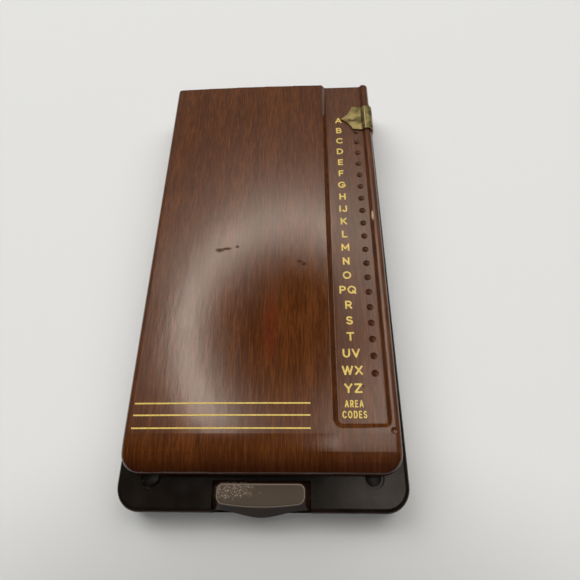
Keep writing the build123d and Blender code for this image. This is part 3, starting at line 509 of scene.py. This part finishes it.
@dataclass(frozen=True)
class Phenolic:
    """Compression-moulded phenolic resin, near-black brown and opaque.

    The mould leaves it glossy; handling has greyed it in clouds, and the rounded edges are
    rubbed through to a redder brown. The thumb pad is paler and pitted where it is pressed, and a
    painted highlight lies along its rim.
    """

    name: str
    body: str = "#100c09"
    bloom: str = "#181410"
    rubbed: str = "#26140d"
    pitted: str = "#8a7c70"
    thumbed: str = "#463d34"
    # Painted highlight along the rim of the thumb pad.
    pad_rim_highlight: str = "#a59a8b"
    pad: bool = False
    pad_z_mm: float = 16.9
    bloom_mm: float = 14.0
    rubbed_mm: Sequence[float] = (7.0, 7.0, 3.0)
    sheen_mm: float = 6.0
    grain_mm: float = 1.0
    relief_mm: float = 0.012
    pitted_mm: Place = ((-12.0, depth_to_y(224.6), 16.9), (9.0, 3.2, 3.0))
    pit_mm: float = 0.38

    def thumb_pad(self, surface: Surface, facing: Socket, colour: Socket,
                  grain: Socket) -> tuple[Socket, Socket]:
        """Wears the raised pad: a painted highlight along its rim, greyed by thumbs and pitted at
        the left.

        Args:
            surface: The material being built.
            facing: How far the surface faces up.
            colour: The moulding's colour.
            grain: The moulding's relief.

        Returns:
            The colour and the relief with the pad's wear.
        """
        place = surface.add("TexCoord", out="Object")
        height = surface.add("SeparateXYZ", {"Vector": place}, out="Z")
        upper = surface.add("MapRange", {"Value": height,
                                         "From Min": (self.pad_z_mm - 1.0) * MM,
                                         "From Max": (self.pad_z_mm - 0.5) * MM})
        level = surface.add("MapRange", {"Value": facing, "From Min": 0.5, "From Max": 0.98})
        # Painted highlight on the pad's sloping rim, between the dark body and the thumbed top.
        wear_and_highlight = surface.add("ValToRGB", {"Fac": level}, stops=(
            (0.1, linear(self.body)), (0.4, linear(self.pad_rim_highlight)), (0.75, linear(self.thumbed))))
        pits = surface.cloud(self.pit_mm, 2.0)
        pit = surface.add("MapRange", {"Value": pits, "From Min": 0.52, "From Max": 0.66})
        both = surface.add("Math", {0: surface.spot(*self.pitted_mm, 0.9), 1: pit},
                           operation="MULTIPLY")
        relief = surface.add("Math", {0: both, 1: -2.0, 2: grain}, operation="MULTIPLY_ADD")
        return surface.coats(colour, (upper, wear_and_highlight), (both, self.pitted)), relief

    def make(self) -> bpy.types.Material:
        """Builds the phenolic.

        Returns:
            The material of the base or of the bar.
        """
        surface = Surface(self.name)
        clouds = surface.cloud(self.bloom_mm, 4.0)
        bloom = surface.add("MapRange", {"Value": clouds, "From Min": 0.42, "From Max": 0.68})
        normal = surface.add("TexCoord", out="Normal")
        facing = surface.add("SeparateXYZ", {"Vector": normal}, out="Z")
        turned = surface.add("MapRange", {"Value": facing, "From Min": 0.97, "From Max": 0.7})
        patches = surface.cloud(self.rubbed_mm, 3.0, (4.0, 1.0, 0.0))
        patchy = surface.add("MapRange", {"Value": patches, "From Min": 0.35, "From Max": 0.6})
        worn = surface.add("Math", {0: turned, 1: patchy}, operation="MULTIPLY")
        colour = surface.coats(self.body, (bloom, self.bloom), (worn, self.rubbed))
        sheen = surface.cloud(self.sheen_mm, 5.0)
        rough = surface.add("MapRange", {"Value": sheen, "From Min": 0.3, "From Max": 0.7,
                                         "To Min": 0.12, "To Max": 0.22})
        relief = surface.cloud(self.grain_mm, 4.0)
        if self.pad:
            colour, relief = self.thumb_pad(surface, facing, colour, relief)
        bump = surface.add("Bump", {"Height": relief, "Distance": self.relief_mm * MM})
        surface.set(Base_Color=colour, Roughness=rough, IOR=1.5, Specular_IOR_Level=0.2,
                    Normal=bump)
        return surface.material


class SteelKind(Enum):
    """Finishes of the steel pieces: colour, roughness, and the grain's size in millimetres."""

    ZINC = ("steel_zinc_plated", "#8f918c", 0.42, (2.5, 2.5, 2.5))
    NICKEL = ("steel_nickel_plated_drawn", "#b9b8b2", 0.20, (0.6, 6.0, 0.6))
    OILED = ("spring_steel_oiled", "#4d4d50", 0.30, (0.5, 0.5, 0.5))


@dataclass(frozen=True)
class Steel:
    """Mild or spring steel: plated spangle, drawn lines or an oiled black skin."""

    kind: SteelKind

    def make(self) -> bpy.types.Material:
        """Builds the steel.

        Returns:
            The material of the chosen finish.
        """
        name, colour, roughness, grain_mm = self.kind.value
        surface = Surface(name)
        grain = surface.cloud(grain_mm, 3.0)
        rough = surface.add("MapRange", {"Value": grain, "From Min": 0.3, "From Max": 0.7,
                                         "To Min": roughness - 0.08, "To Max": roughness + 0.1})
        dark = tuple(c * 0.7 for c in linear(colour)[:3]) + (1.0,)
        surface.set(Base_Color=surface.coats(dark, (grain, colour)), Metallic=1.0,
                    Roughness=rough)
        return surface.material


@dataclass(frozen=True)
class Rubber:
    """Moulded black rubber: matte, greyed by dust, with a fine pebble from the mould."""

    body: str = "#100f0e"
    dust: str = "#24221f"
    dust_mm: float = 2.0
    pebble_mm: float = 0.4
    relief_mm: float = 0.02

    def make(self) -> bpy.types.Material:
        """Builds the rubber.

        Returns:
            The material of the feet and bumpers.
        """
        surface = Surface("rubber_moulded")
        clouds = surface.cloud(self.dust_mm, 3.0)
        dusty = surface.add("MapRange", {"Value": clouds, "From Min": 0.4, "From Max": 0.7})
        pebble = surface.cloud(self.pebble_mm, 2.0)
        bump = surface.add("Bump", {"Height": pebble, "Distance": self.relief_mm * MM})
        surface.set(Base_Color=surface.coats(self.body, (dusty, self.dust)), Roughness=0.5,
                    IOR=1.52, Normal=bump)
        return surface.material


@dataclass(frozen=True)
class RuledCard:
    """Index card stock: cream and calendered, yellowed at the edges, with thin printed rules."""

    name: str
    paper: str = "#e3dcc4"
    aged: str = "#d6cba8"
    rule: str = "#7f9fa6"
    margin: str = "#b06a62"
    rule_pitch_mm: float = 6.35
    rule_mm: float = 0.28
    margin_x_mm: float = -36.0
    fibre_mm: float = 0.8
    blotch_mm: float = 30.0
    relief_mm: float = 0.01
    ruled: bool = True

    def rules(self, surface: Surface, colour: Socket) -> Socket:
        """Prints the writing lines across the card, and one margin line down it.

        Args:
            surface: The material being built.
            colour: The bare stock's colour.

        Returns:
            The colour with its rules.
        """
        place = surface.add("TexCoord", out="Object")
        split = add_node(surface.tree, "SeparateXYZ", {"Vector": place})
        folded = surface.add("Math", {0: split.outputs["Y"], 1: self.rule_pitch_mm / 2 * MM},
                             operation="PINGPONG")
        line = surface.add("MapRange", {"Value": folded, "From Min": self.rule_mm * MM,
                                        "From Max": self.rule_mm / 2 * MM, "To Max": 0.8})
        away = surface.add("Math", {0: split.outputs["X"], 1: self.margin_x_mm * MM,
                                    2: self.rule_mm / 2 * MM}, operation="COMPARE")
        return surface.coats(colour, (line, self.rule), (away, self.margin))

    def make(self) -> bpy.types.Material:
        """Builds the card stock.

        Returns:
            The sheets' material.
        """
        surface = Surface(self.name)
        fibre = surface.cloud(self.fibre_mm, 3.0)
        blotch = surface.cloud(self.blotch_mm, 4.0)
        ageing = surface.add("MapRange", {"Value": blotch, "From Min": 0.4, "From Max": 0.75})
        colour = surface.coats(self.paper, (ageing, self.aged))
        if self.ruled:
            colour = self.rules(surface, colour)
        bump = surface.add("Bump", {"Height": fibre, "Distance": self.relief_mm * MM})
        surface.set(Base_Color=colour, Roughness=0.78, Normal=bump)
        return surface.material


@dataclass(frozen=True)
class Ink:
    """Screen-printed ink: an even film, thin and rubbed in places."""

    name: str
    colour: str
    thin: str
    rub_mm: float = 0.7

    def make(self) -> bpy.types.Material:
        """Builds the ink.

        Returns:
            The ink's material.
        """
        surface = Surface(self.name)
        wear = surface.cloud(self.rub_mm, 4.0)
        tone = surface.add("MapRange", {"Value": wear, "From Min": 0.35, "From Max": 0.6})
        surface.set(Base_Color=surface.coats(self.thin, (tone, self.colour)), Roughness=0.42)
        return surface.material


# ------------------------------------------------------------------ lettering

def bow(centre: Point, reach: Point, start: float, end: float) -> list[Point]:
    """Points along an elliptical arc, from one angle to another in degrees.

    Args:
        centre: The ellipse's middle.
        reach: Its half width and half height.
        start: The first angle, anticlockwise from the right.
        end: The last angle; below the first, the arc runs clockwise.

    Returns:
        The points, both ends included.
    """
    steps = max(4, round(abs(end - start) / 12))
    angles = [math.radians(start + (end - start) * i / steps) for i in range(steps + 1)]
    return [(centre[0] + reach[0] * math.cos(a), centre[1] + reach[1] * math.sin(a))
            for a in angles]


def plain_letters() -> dict[str, tuple[float, list[list[Point]]]]:
    """Draws single-line block capitals, one cap high.

    Returns:
        For each letter, its width and its strokes.
    """
    stem = [(0, 0), (0, 1)]
    ring = bow((0.5, 0.5), (0.5, 0.5), 0, 360)
    bowl = [(0, 1), *bow((0.4, 0.72), (0.29, 0.28), 90, -90), (0, 0.44)]
    return {
        "A": (0.88, [[(0, 0), (0.44, 1)], [(0.44, 1), (0.88, 0)], [(0.15, 0.3), (0.73, 0.3)]]),
        "B": (0.7, [stem, [(0, 1), *bow((0.38, 0.76), (0.26, 0.24), 90, -90), (0, 0.52)],
                    [(0, 0.52), *bow((0.42, 0.26), (0.28, 0.26), 90, -90), (0, 0)]]),
        "C": (0.88, [bow((0.5, 0.5), (0.5, 0.5), 42, 318)]),
        "D": (0.82, [stem, [(0, 1), *bow((0.34, 0.5), (0.48, 0.5), 90, -90), (0, 0)]]),
        "E": (0.6, [stem, [(0, 1), (0.6, 1)], [(0, 0.51), (0.52, 0.51)], [(0, 0), (0.6, 0)]]),
        "F": (0.58, [stem, [(0, 1), (0.58, 1)], [(0, 0.5), (0.5, 0.5)]]),
        "G": (0.98, [bow((0.5, 0.5), (0.5, 0.5), 42, 352), [(0.56, 0.43), (0.98, 0.43)]]),
        "H": (0.76, [stem, [(0.76, 0), (0.76, 1)], [(0, 0.52), (0.76, 0.52)]]),
        "I": (0.0, [stem]),
        "J": (0.5, [[(0.5, 1), (0.5, 0.26), *bow((0.25, 0.25), (0.25, 0.25), 0, -165)]]),
        "K": (0.76, [stem, [(0, 0.34), (0.7, 1)], [(0.24, 0.56), (0.76, 0)]]),
        "L": (0.58, [stem, [(0, 0), (0.58, 0)]]),
        "M": (0.94, [stem, [(0, 1), (0.47, 0.28)], [(0.47, 0.28), (0.94, 1)],
                     [(0.94, 1), (0.94, 0)]]),
        "N": (0.76, [stem, [(0, 1), (0.76, 0)], [(0.76, 0), (0.76, 1)]]),
        "O": (1.0, [ring]),
        "P": (0.69, [stem, bowl]),
        "Q": (1.0, [ring, [(0.62, 0.32), (1.0, -0.06)]]),
        "R": (0.74, [stem, bowl, [(0.34, 0.44), (0.74, 0)]]),
        "S": (0.72, [[*bow((0.36, 0.745), (0.31, 0.255), 28, 270),
                      *bow((0.36, 0.245), (0.35, 0.245), 90, -152)]]),
        "T": (0.8, [[(0, 1), (0.8, 1)], [(0.4, 1), (0.4, 0)]]),
        "U": (0.76, [[(0, 1), *bow((0.38, 0.38), (0.38, 0.38), 180, 360), (0.76, 1)]]),
        "V": (0.86, [[(0, 1), (0.43, 0)], [(0.43, 0), (0.86, 1)]]),
        "W": (1.24, [[(0, 1), (0.31, 0)], [(0.31, 0), (0.62, 1)], [(0.62, 1), (0.93, 0)],
                     [(0.93, 0), (1.24, 1)]]),
        "X": (0.8, [[(0, 0), (0.8, 1)], [(0, 1), (0.8, 0)]]),
        "Y": (0.84, [[(0, 1), (0.42, 0.44)], [(0.84, 1), (0.42, 0.44)], [(0.42, 0.44), (0.42, 0)]]),
        "Z": (0.78, [[(0, 1), (0.78, 1)], [(0.78, 1), (0, 0)], [(0, 0), (0.78, 0)]]),
    }


@dataclass(frozen=True)
class BlockType:
    """A size of single-line block capitals, laid as flat ribbons of ink."""

    cap_mm: float
    stroke_mm: float
    narrow: float = 1.0
    gap_mm: float = 0.75
    lift_mm: float = 0.02
    step_mm: float = 0.003
    corner_share: float = 0.42

    def ribbon(self, points: Sequence[Point]) -> tuple[list[Point], list[tuple[int, ...]]]:
        """Widens a line of points into a ribbon, with its ends pushed out to close corners.

        Args:
            points: The line's points, in millimetres.

        Returns:
            The ribbon's points in pairs, and its four-sided faces.
        """
        line = [Vector(p) for p in points]
        ways = [(b - a).normalized() for a, b in zip(line, line[1:])]
        push = self.stroke_mm * self.corner_share
        if (line[0] - line[-1]).length > 1e-6:
            line[0] = line[0] - ways[0] * push
            line[-1] = line[-1] + ways[-1] * push
        out: list[Point] = []
        for i, point in enumerate(line):
            before = ways[max(i - 1, 0)]
            after = ways[min(i, len(ways) - 1)]
            side = Vector((-(before + after).y, (before + after).x)).normalized()
            half = self.stroke_mm / 2 / max(side.dot(Vector((-after.y, after.x))), 0.5)
            out += [tuple(point + side * half), tuple(point - side * half)]
        faces = [(2 * i, 2 * i + 1, 2 * i + 3, 2 * i + 2) for i in range(len(line) - 1)]
        return out, faces

    def lay(self, name: str, text: str, centre_mm: Point, height: Callable[[float], float],
            ink: bpy.types.Material) -> bpy.types.Object:
        """Lays one word flat, centred on a point.

        Args:
            name: The new object's name.
            text: The word.
            centre_mm: The middle of the word, as X and Y.
            height: Gives the surface's height at X, in millimetres.
            ink: The ink's material.

        Returns:
            The mesh object.
        """
        letters = plain_letters()
        tall = self.cap_mm - self.stroke_mm
        wide = tall * self.narrow
        widths = [letters[letter][0] * wide for letter in text]
        x = centre_mm[0] - (sum(widths) + (len(text) - 1) * (self.gap_mm + self.stroke_mm)) / 2
        vertices: list[tuple[float, float, float]] = []
        faces: list[tuple[int, ...]] = []
        lift = self.lift_mm
        for letter, width in zip(text, widths):
            for stroke in letters[letter][1]:
                line = [(x + px * wide, centre_mm[1] + (py - 0.5) * tall) for px, py in stroke]
                points, quads = self.ribbon(line)
                first = len(vertices)
                vertices += [(px, py, height(px) + lift) for px, py in points]
                faces += [tuple(first + corner for corner in quad) for quad in quads]
                lift += self.step_mm
            x += width + self.gap_mm + self.stroke_mm
        made = mesh_object(name, vertices, faces)
        dress(made, ink)
        return made


# ------------------------------------------------------------------ assemblies

@dataclass
class Lid:
    """The printed lid with its gold stripes and its scale of letters."""

    enamel: bpy.types.Material
    gold: bpy.types.Material
    stripe_x_mm: tuple[float, float] = (-54.8, 20.9)
    stripe_depths_mm: tuple[float, ...] = (191.15, 196.1, 201.4)
    stripe_width_mm: float = 0.62
    stripe_lift_mm: float = 0.03
    stripe_steps: int = 24
    letter_x_mm: float = 39.6
    capitals: BlockType = BlockType(4.15, 0.8)
    label: BlockType = BlockType(3.1, 0.52, 0.56, 0.5)
    label_lines: tuple[tuple[str, float], ...] = (("AREA", -1.25), ("CODES", 3.25))

    def build(self) -> None:
        """Dresses the shell and prints on it."""
        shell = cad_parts["lid_shell"]
        dress(shell, self.enamel)
        # Large flats keep their own normals beside the front roll, so no wedge of shade is left.
        weighted = shell.modifiers.new("Weighted normals", "WEIGHTED_NORMAL")
        weighted.keep_sharp = True
        for number, depth in enumerate(self.stripe_depths_mm, 1):
            self.stripe(number, depth)
        self.scale()

    def stripe(self, number: int, depth_mm: float) -> bpy.types.Object:
        """Lays one gold line across the crowned top.

        Args:
            number: The line's number, from the rear.
            depth_mm: Its depth from the datum line.

        Returns:
            The mesh object.
        """
        steps = self.stripe_steps
        y = depth_to_y(depth_mm)
        half = self.stripe_width_mm / 2
        left, right = self.stripe_x_mm
        vertices: list[tuple[float, float, float]] = []
        for i in range(steps + 1):
            x = left + (right - left) * i / steps
            z = crown_z(x) + self.stripe_lift_mm
            vertices += [(x, y - half, z), (x, y + half, z)]
        faces = [(2 * i, 2 * i + 2, 2 * i + 3, 2 * i + 1) for i in range(steps)]
        made = mesh_object(f"gold_stripe_{number}", vertices, faces)
        dress(made, self.gold)
        fit_to_body(made, "lid")
        return made

    def scale(self) -> None:
        """Prints the letters down the channel's floor, and the label at its end."""
        words = [(f"letter_{word.lower()}", word, self.capitals, ROW_A_DEPTH_MM + n * ROW_PITCH_MM)
                 for n, word in enumerate(ROWS)]
        last = ROW_A_DEPTH_MM + len(ROWS) * ROW_PITCH_MM
        words += [(f"label_{word.lower()}", word, self.label, last + shift)
                  for word, shift in self.label_lines]
        for name, word, face, depth in words:
            made = face.lay(name, word, (self.letter_x_mm, depth_to_y(depth)),
                            lambda x: CHANNEL_FLOOR_Z_MM, self.gold)
            fit_to_body(made, "lid")


@dataclass
class CardStack:
    """The cover sheet and the lettered cards, with a heading printed on each card."""

    stock: bpy.types.Material
    cover: bpy.types.Material
    ink: bpy.types.Material
    heading: BlockType = BlockType(6.0, 0.9, 1.0, 1.0)
    heading_x_mm: float = -44.0
    heading_depth_mm: float = 24.0

    def build(self) -> None:
        """Dresses every sheet and prints the headings."""
        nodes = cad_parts
        dress(nodes["front_sheet"], self.cover)
        dress(nodes["card_area_codes"], self.stock)
        for number, word in enumerate(ROWS, 1):
            node_name = f"card_{word.lower()}"
            dress(nodes[node_name], self.stock)
            top = CARD_STACK_Z_MM - number * CARD_PITCH_MM + CARD_THICKNESS_MM / 2
            made = self.heading.lay(f"heading_{word.lower()}", word,
                                    (self.heading_x_mm, depth_to_y(self.heading_depth_mm)),
                                    lambda x, z=top: z, self.ink)
            fit_to_body(made, node_name)


@dataclass
class Studio:
    """Pale paper, a dim room with a ring and a patch of light overhead, lamps, and the camera.

    The ring and the patch are given on a ceiling one unit above the object, so that X and Y there
    are the slopes of a direction. A profile is pairs of distance from the ring's middle and
    brightness: crisp at its strong side, soft at its weak side. A rise is the pair of values
    between which a light goes from nothing to full. The camera's own rays see a plain pale
    backdrop in place of the room; glossy rays see the room but not the lamps.
    """

    floor: str = "#d0d4d6"
    # Painted shadow on the paper in front of the object.
    floor_painted_shadow: str = "#a3a6a7"
    floor_reach_mm: float = 3000.0
    shade_middle_mm: Point = (0.0, -185.0)
    shade_per_m: Point = (4.5, 8.5)
    room_tint: str = "#fff1e3"
    ring_centre: Point = (-0.024, 0.40)
    ring_flatten: float = 1.15
    ring_profile: tuple[Point, ...] = ((0.12, 0.0), (0.17, 0.015), (0.22, 0.06), (0.27, 0.22),
                                       (0.307, 0.75), (0.332, 1.0), (0.355, 0.75), (0.38, 0.25),
                                       (0.42, 0.07), (0.54, 0.03), (0.65, 0.02), (0.8, 0.0))
    soft_profile: tuple[Point, ...] = ((0.12, 0.0), (0.17, 0.05), (0.22, 0.24), (0.27, 0.7),
                                       (0.32, 0.92), (0.34, 1.0), (0.365, 0.85), (0.42, 0.45),
                                       (0.50, 0.2), (0.62, 0.06), (0.8, 0.0))
    ring_strength: float = 9.0
    ring_weak_side: Point = (0.6, 0.8)
    ring_weak_rise: Point = (-0.5, 0.4)
    ring_weakest: float = 0.62
    ring_ends: Point = (0.1, 0.175)
    patch_centre: Point = (0.19, -0.02)
    patch_reach: Point = (0.06, 0.18)
    patch_strength: float = 3.2
    backdrop: float = 0.8
    backdrop_tint: str = "#f2f3f2"
    dim_rear: float = 0.35
    dim_front: float = 0.02
    rear_rise: Point = (-0.1, 0.35)
    upper_rise: Point = (0.05, 0.4)
    clear_rise: Point = (0.1, 0.4)
    lowest_z: float = 0.05
    lamps: tuple[tuple[str, Vector, float, float], ...] = (
        ("key", Vector((-1.8, 1.7, 2.2)), 2.2, 62.0),
        ("fill", Vector((1.8, 1.5, 2.2)), 2.4, 37.0),
        ("front", Vector((0.3, -1.7, 2.3)), 2.2, 19.0))
    camera_mm: tuple[float, float, float] = (20.11, -110.6, 212.7)
    tilt: float = 0.447
    yaw: float = 0.091
    roll: float = -0.094
    focal_px: float = 435.95
    image_px: float = 580.0
    sensor_mm: float = 36.0

    def build(self) -> None:
        """Makes the paper, the room, the lamps and the camera."""
        self.paper()
        self.room()
        self.hang_lamps()
        self.camera()
        bpy.context.scene.view_settings.view_transform = "Standard"

    def paper(self) -> None:
        """Lays the pale paper, with a painted shadow that darkens it just in front of the object.
        """
        reach = self.floor_reach_mm
        ground = mesh_object("floor", [(-reach, -reach, 0), (reach, -reach, 0),
                                       (reach, reach, 0), (-reach, reach, 0)], [(0, 1, 2, 3)])
        surface = Surface("floor_paper")
        place = surface.add("TexCoord", out="Object")
        middle = tuple(c * MM for c in self.shade_middle_mm) + (0.0,)
        moved = surface.add("VectorMath", {0: place, 1: middle}, operation="SUBTRACT")
        unit = surface.add("VectorMath", {0: moved, 1: (*self.shade_per_m, 0.0)},
                           operation="MULTIPLY")
        far = surface.add("VectorMath", {0: unit}, out="Value", operation="LENGTH")
        # Painted shadow: a soft ellipse of darker paper in front of the object.
        near = surface.add("MapRange", {"Value": far, "From Min": 1.0, "From Max": 0.1},
                           interpolation_type="SMOOTHSTEP")
        surface.set(Base_Color=surface.coats(self.floor, (near, self.floor_painted_shadow)), Roughness=0.8)
        dress(ground, surface.material)

    def room(self) -> None:
        """Lights the room, and puts the backdrop behind the object."""
        world = bpy.data.worlds.new("studio")
        bpy.context.scene.world = world
        world.use_nodes = True
        sky = Nodes(world.node_tree)
        way = sky.add("TexCoord", out="Generated")
        up = sky.add("SeparateXYZ", {0: way}, "Z")
        up = sky.add("Math", {0: up, 1: self.lowest_z}, operation="MAXIMUM")
        slope = sky.add("VectorMath", {0: way, 1: up}, operation="DIVIDE")
        away = sky.add("VectorMath", {0: slope, 1: (*self.ring_centre, 1.0)},
                       operation="SUBTRACT")
        taller = sky.add("VectorMath", {0: away, 1: (1.0, self.ring_flatten, 0.0)},
                         operation="MULTIPLY")
        longer = sky.add("VectorMath", {0: away, 1: taller}, operation="MAXIMUM")
        far = sky.add("VectorMath", {0: longer}, "Value", operation="LENGTH")
        light = sky.add("Math", {0: self.ring(sky, slope, away, far), 1: self.ring_strength,
                                 2: self.dimness(sky, way, far)}, operation="MULTIPLY_ADD")
        light = sky.add("Math", {0: light, 1: self.patch(sky, slope)}, operation="ADD")
        viewed = sky.add("LightPath", out="Is Camera Ray")
        tint = sky.add("Mix", {Mix.FACTOR: viewed, Mix.FIRST: linear(self.room_tint),
                               Mix.SECOND: linear(self.backdrop_tint)}, Mix.RESULT,
                       data_type="RGBA")
        seen = sky.add("MapRange", {"Value": viewed, "To Min": light, "To Max": self.backdrop})
        back = sky.tree.nodes["Background"]
        sky.tree.links.new(tint, back.inputs["Color"])
        sky.tree.links.new(seen, back.inputs["Strength"])

    def ring(self, sky: Nodes, slope: Socket, away: Socket, far: Socket) -> Socket:
        """Draws the ring, weaker and softer at one side and open at its near end.

        Args:
            sky: The world's nodes.
            slope: The place on the ceiling.
            away: The same place, from the ring's middle.
            far: Its distance from the middle of the flattened ring.

        Returns:
            The ring's brightness, up to 1.
        """
        crisp, soft = (sky.add("ValToRGB", {"Fac": far}, "Color", stops=[
            (place, grey(value)) for place, value in profile])
            for profile in (self.ring_profile, self.soft_profile))
        aim = sky.add("VectorMath", {0: away}, operation="NORMALIZE")
        side = Vector((*self.ring_weak_side, 0.0)).normalized()
        turned = sky.add("VectorMath", {0: aim, 1: side}, "Value", operation="DOT_PRODUCT")
        weak = sky.add("MapRange", {"Value": turned, "From Min": self.ring_weak_rise[0],
                                    "From Max": self.ring_weak_rise[1]})
        ring = sky.add("Mix", {Mix.FACTOR: weak, Mix.FIRST: crisp, Mix.SECOND: soft}, Mix.RESULT,
                       data_type="RGBA")
        uneven = sky.add("MapRange", {"Value": weak, "To Min": 1.0, "To Max": self.ring_weakest})
        height = sky.add("SeparateXYZ", {0: slope}, "Y")
        ahead = sky.add("MapRange", {"Value": height, "From Min": self.ring_ends[0],
                                     "From Max": self.ring_ends[1], "To Max": uneven})
        return sky.add("Math", {0: ring, 1: ahead}, operation="MULTIPLY")

    def patch(self, sky: Nodes, slope: Socket) -> Socket:
        """Draws the soft patch of light at the right.

        Args:
            sky: The world's nodes.
            slope: The place on the ceiling.

        Returns:
            The patch's strength.
        """
        near = sky.add("VectorMath", {0: slope, 1: (*self.patch_centre, 1.0)}, "Value",
                       operation="DISTANCE")
        return sky.add("MapRange", {"Value": near, "From Min": self.patch_reach[1],
                                    "From Max": self.patch_reach[0],
                                    "To Max": self.patch_strength},
                       interpolation_type="SMOOTHSTEP")

    def dimness(self, sky: Nodes, way: Socket, far: Socket) -> Socket:
        """Gives the rest of the room: dimmer in front, low down and inside the ring.

        Args:
            sky: The world's nodes.
            way: The direction looked in.
            far: The distance from the ring's middle.

        Returns:
            The room's strength.
        """
        strength: Socket | float = self.dim_rear
        rises = ((sky.add("SeparateXYZ", {0: way}, "Y"), self.rear_rise, self.dim_front),
                 (sky.add("SeparateXYZ", {0: way}, "Z"), self.upper_rise, 0.0),
                 (far, self.clear_rise, 0.0))
        for along, rise, least in rises:
            strength = sky.add("MapRange", {"Value": along, "From Min": rise[0],
                                            "From Max": rise[1], "To Min": least,
                                            "To Max": strength})
        return strength

    def hang_lamps(self) -> None:
        """Hangs the broad lamps, which light the colours but show in no gloss."""
        for name, place, size, power in self.lamps:
            data = bpy.data.lights.new(name, "AREA")
            data.shape = "DISK"
            data.size = size
            data.energy = power
            lamp = bpy.data.objects.new(name, data)
            lamp.location = place
            lamp.rotation_euler = (-place).to_track_quat("-Z", "Y").to_euler()
            lamp.visible_glossy = False
            bpy.context.scene.collection.objects.link(lamp)

    def camera(self) -> None:
        """Sets the camera at the viewing angle."""
        data = bpy.data.cameras.new("camera")
        data.sensor_width = self.sensor_mm
        data.lens = self.focal_px / self.image_px * self.sensor_mm
        data.clip_start = 0.01
        camera = bpy.data.objects.new("camera", data)
        turn = (Matrix.Rotation(self.yaw, 4, "Z") @ Matrix.Rotation(self.tilt, 4, "X")
                @ Matrix.Rotation(self.roll, 4, "Z"))
        camera.matrix_world = Matrix.Translation(Vector(self.camera_mm) * MM) @ turn
        bpy.context.scene.collection.objects.link(camera)
        bpy.context.scene.camera = camera


@dataclass
class PlainPieces:
    """The CAD pieces that need a finish and nothing more."""

    zinc: tuple[str, ...] = ("lid_catch", "base_hinge_leaf", "lid_hinge_leaf", "hinge_screws",
                             "loop_plate", "pickup_finger", "latch_lever", "bar_rivets",
                             "latch_bracket", "bracket_screws")
    nickel: tuple[str, ...] = ("hinge_pin", "card_loop_left", "card_loop_right", "latch_pin")
    oiled: tuple[str, ...] = ("opening_spring", "return_spring")
    rubber: tuple[str, ...] = ("foot_rear_left", "foot_rear_right", "foot_front_left",
                               "foot_front_right", "lid_bumper_left", "lid_bumper_right")
    brass: tuple[str, ...] = ("pointer", "finger_rivet")
    spring_foot_mm: tuple[float, float, float] = (0.0, depth_to_y(225.0), 3.4)
    spring_pressed: float = 0.36

    def build(self) -> None:
        """Dresses each group in its finish, and gives the return spring a mesh of its own."""
        groups = ((self.zinc, Steel(SteelKind.ZINC)), (self.nickel, Steel(SteelKind.NICKEL)),
                  (self.oiled, Steel(SteelKind.OILED)), (self.rubber, Rubber()),
                  (self.brass, TarnishedBrass()), (("base_tray",), Phenolic("phenolic_base")),
                  (("release_bar",), Phenolic("phenolic_bar", "#17100c", "#1f1711", "#26150e",
                                              pad=True)))
        for names, finish in groups:
            material = finish.make()
            for name in names:
                dress(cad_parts[name], material)
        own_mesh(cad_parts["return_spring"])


def main() -> None:
    """Builds the studio and dresses the index, one assembly after another."""
    logging.basicConfig(level=logging.INFO, format="%(message)s")
    Studio().build()
    PlainPieces().build()
    gold = Ink("gold_ink", "#d3ba5f", "#b39c52").make()
    Lid(PrintedEnamel().make(), gold).build()
    LOG.info("printed the lid")
    CardStack(RuledCard("index_card").make(),
              RuledCard("cover_card", paper="#c9bd9d", aged="#b5a57e", ruled=False).make(),
              Ink("black_ink", "#1d1b1a", "#33302d").make()).build()
    LOG.info("printed the cards")


if __name__ == "__main__":
    main()
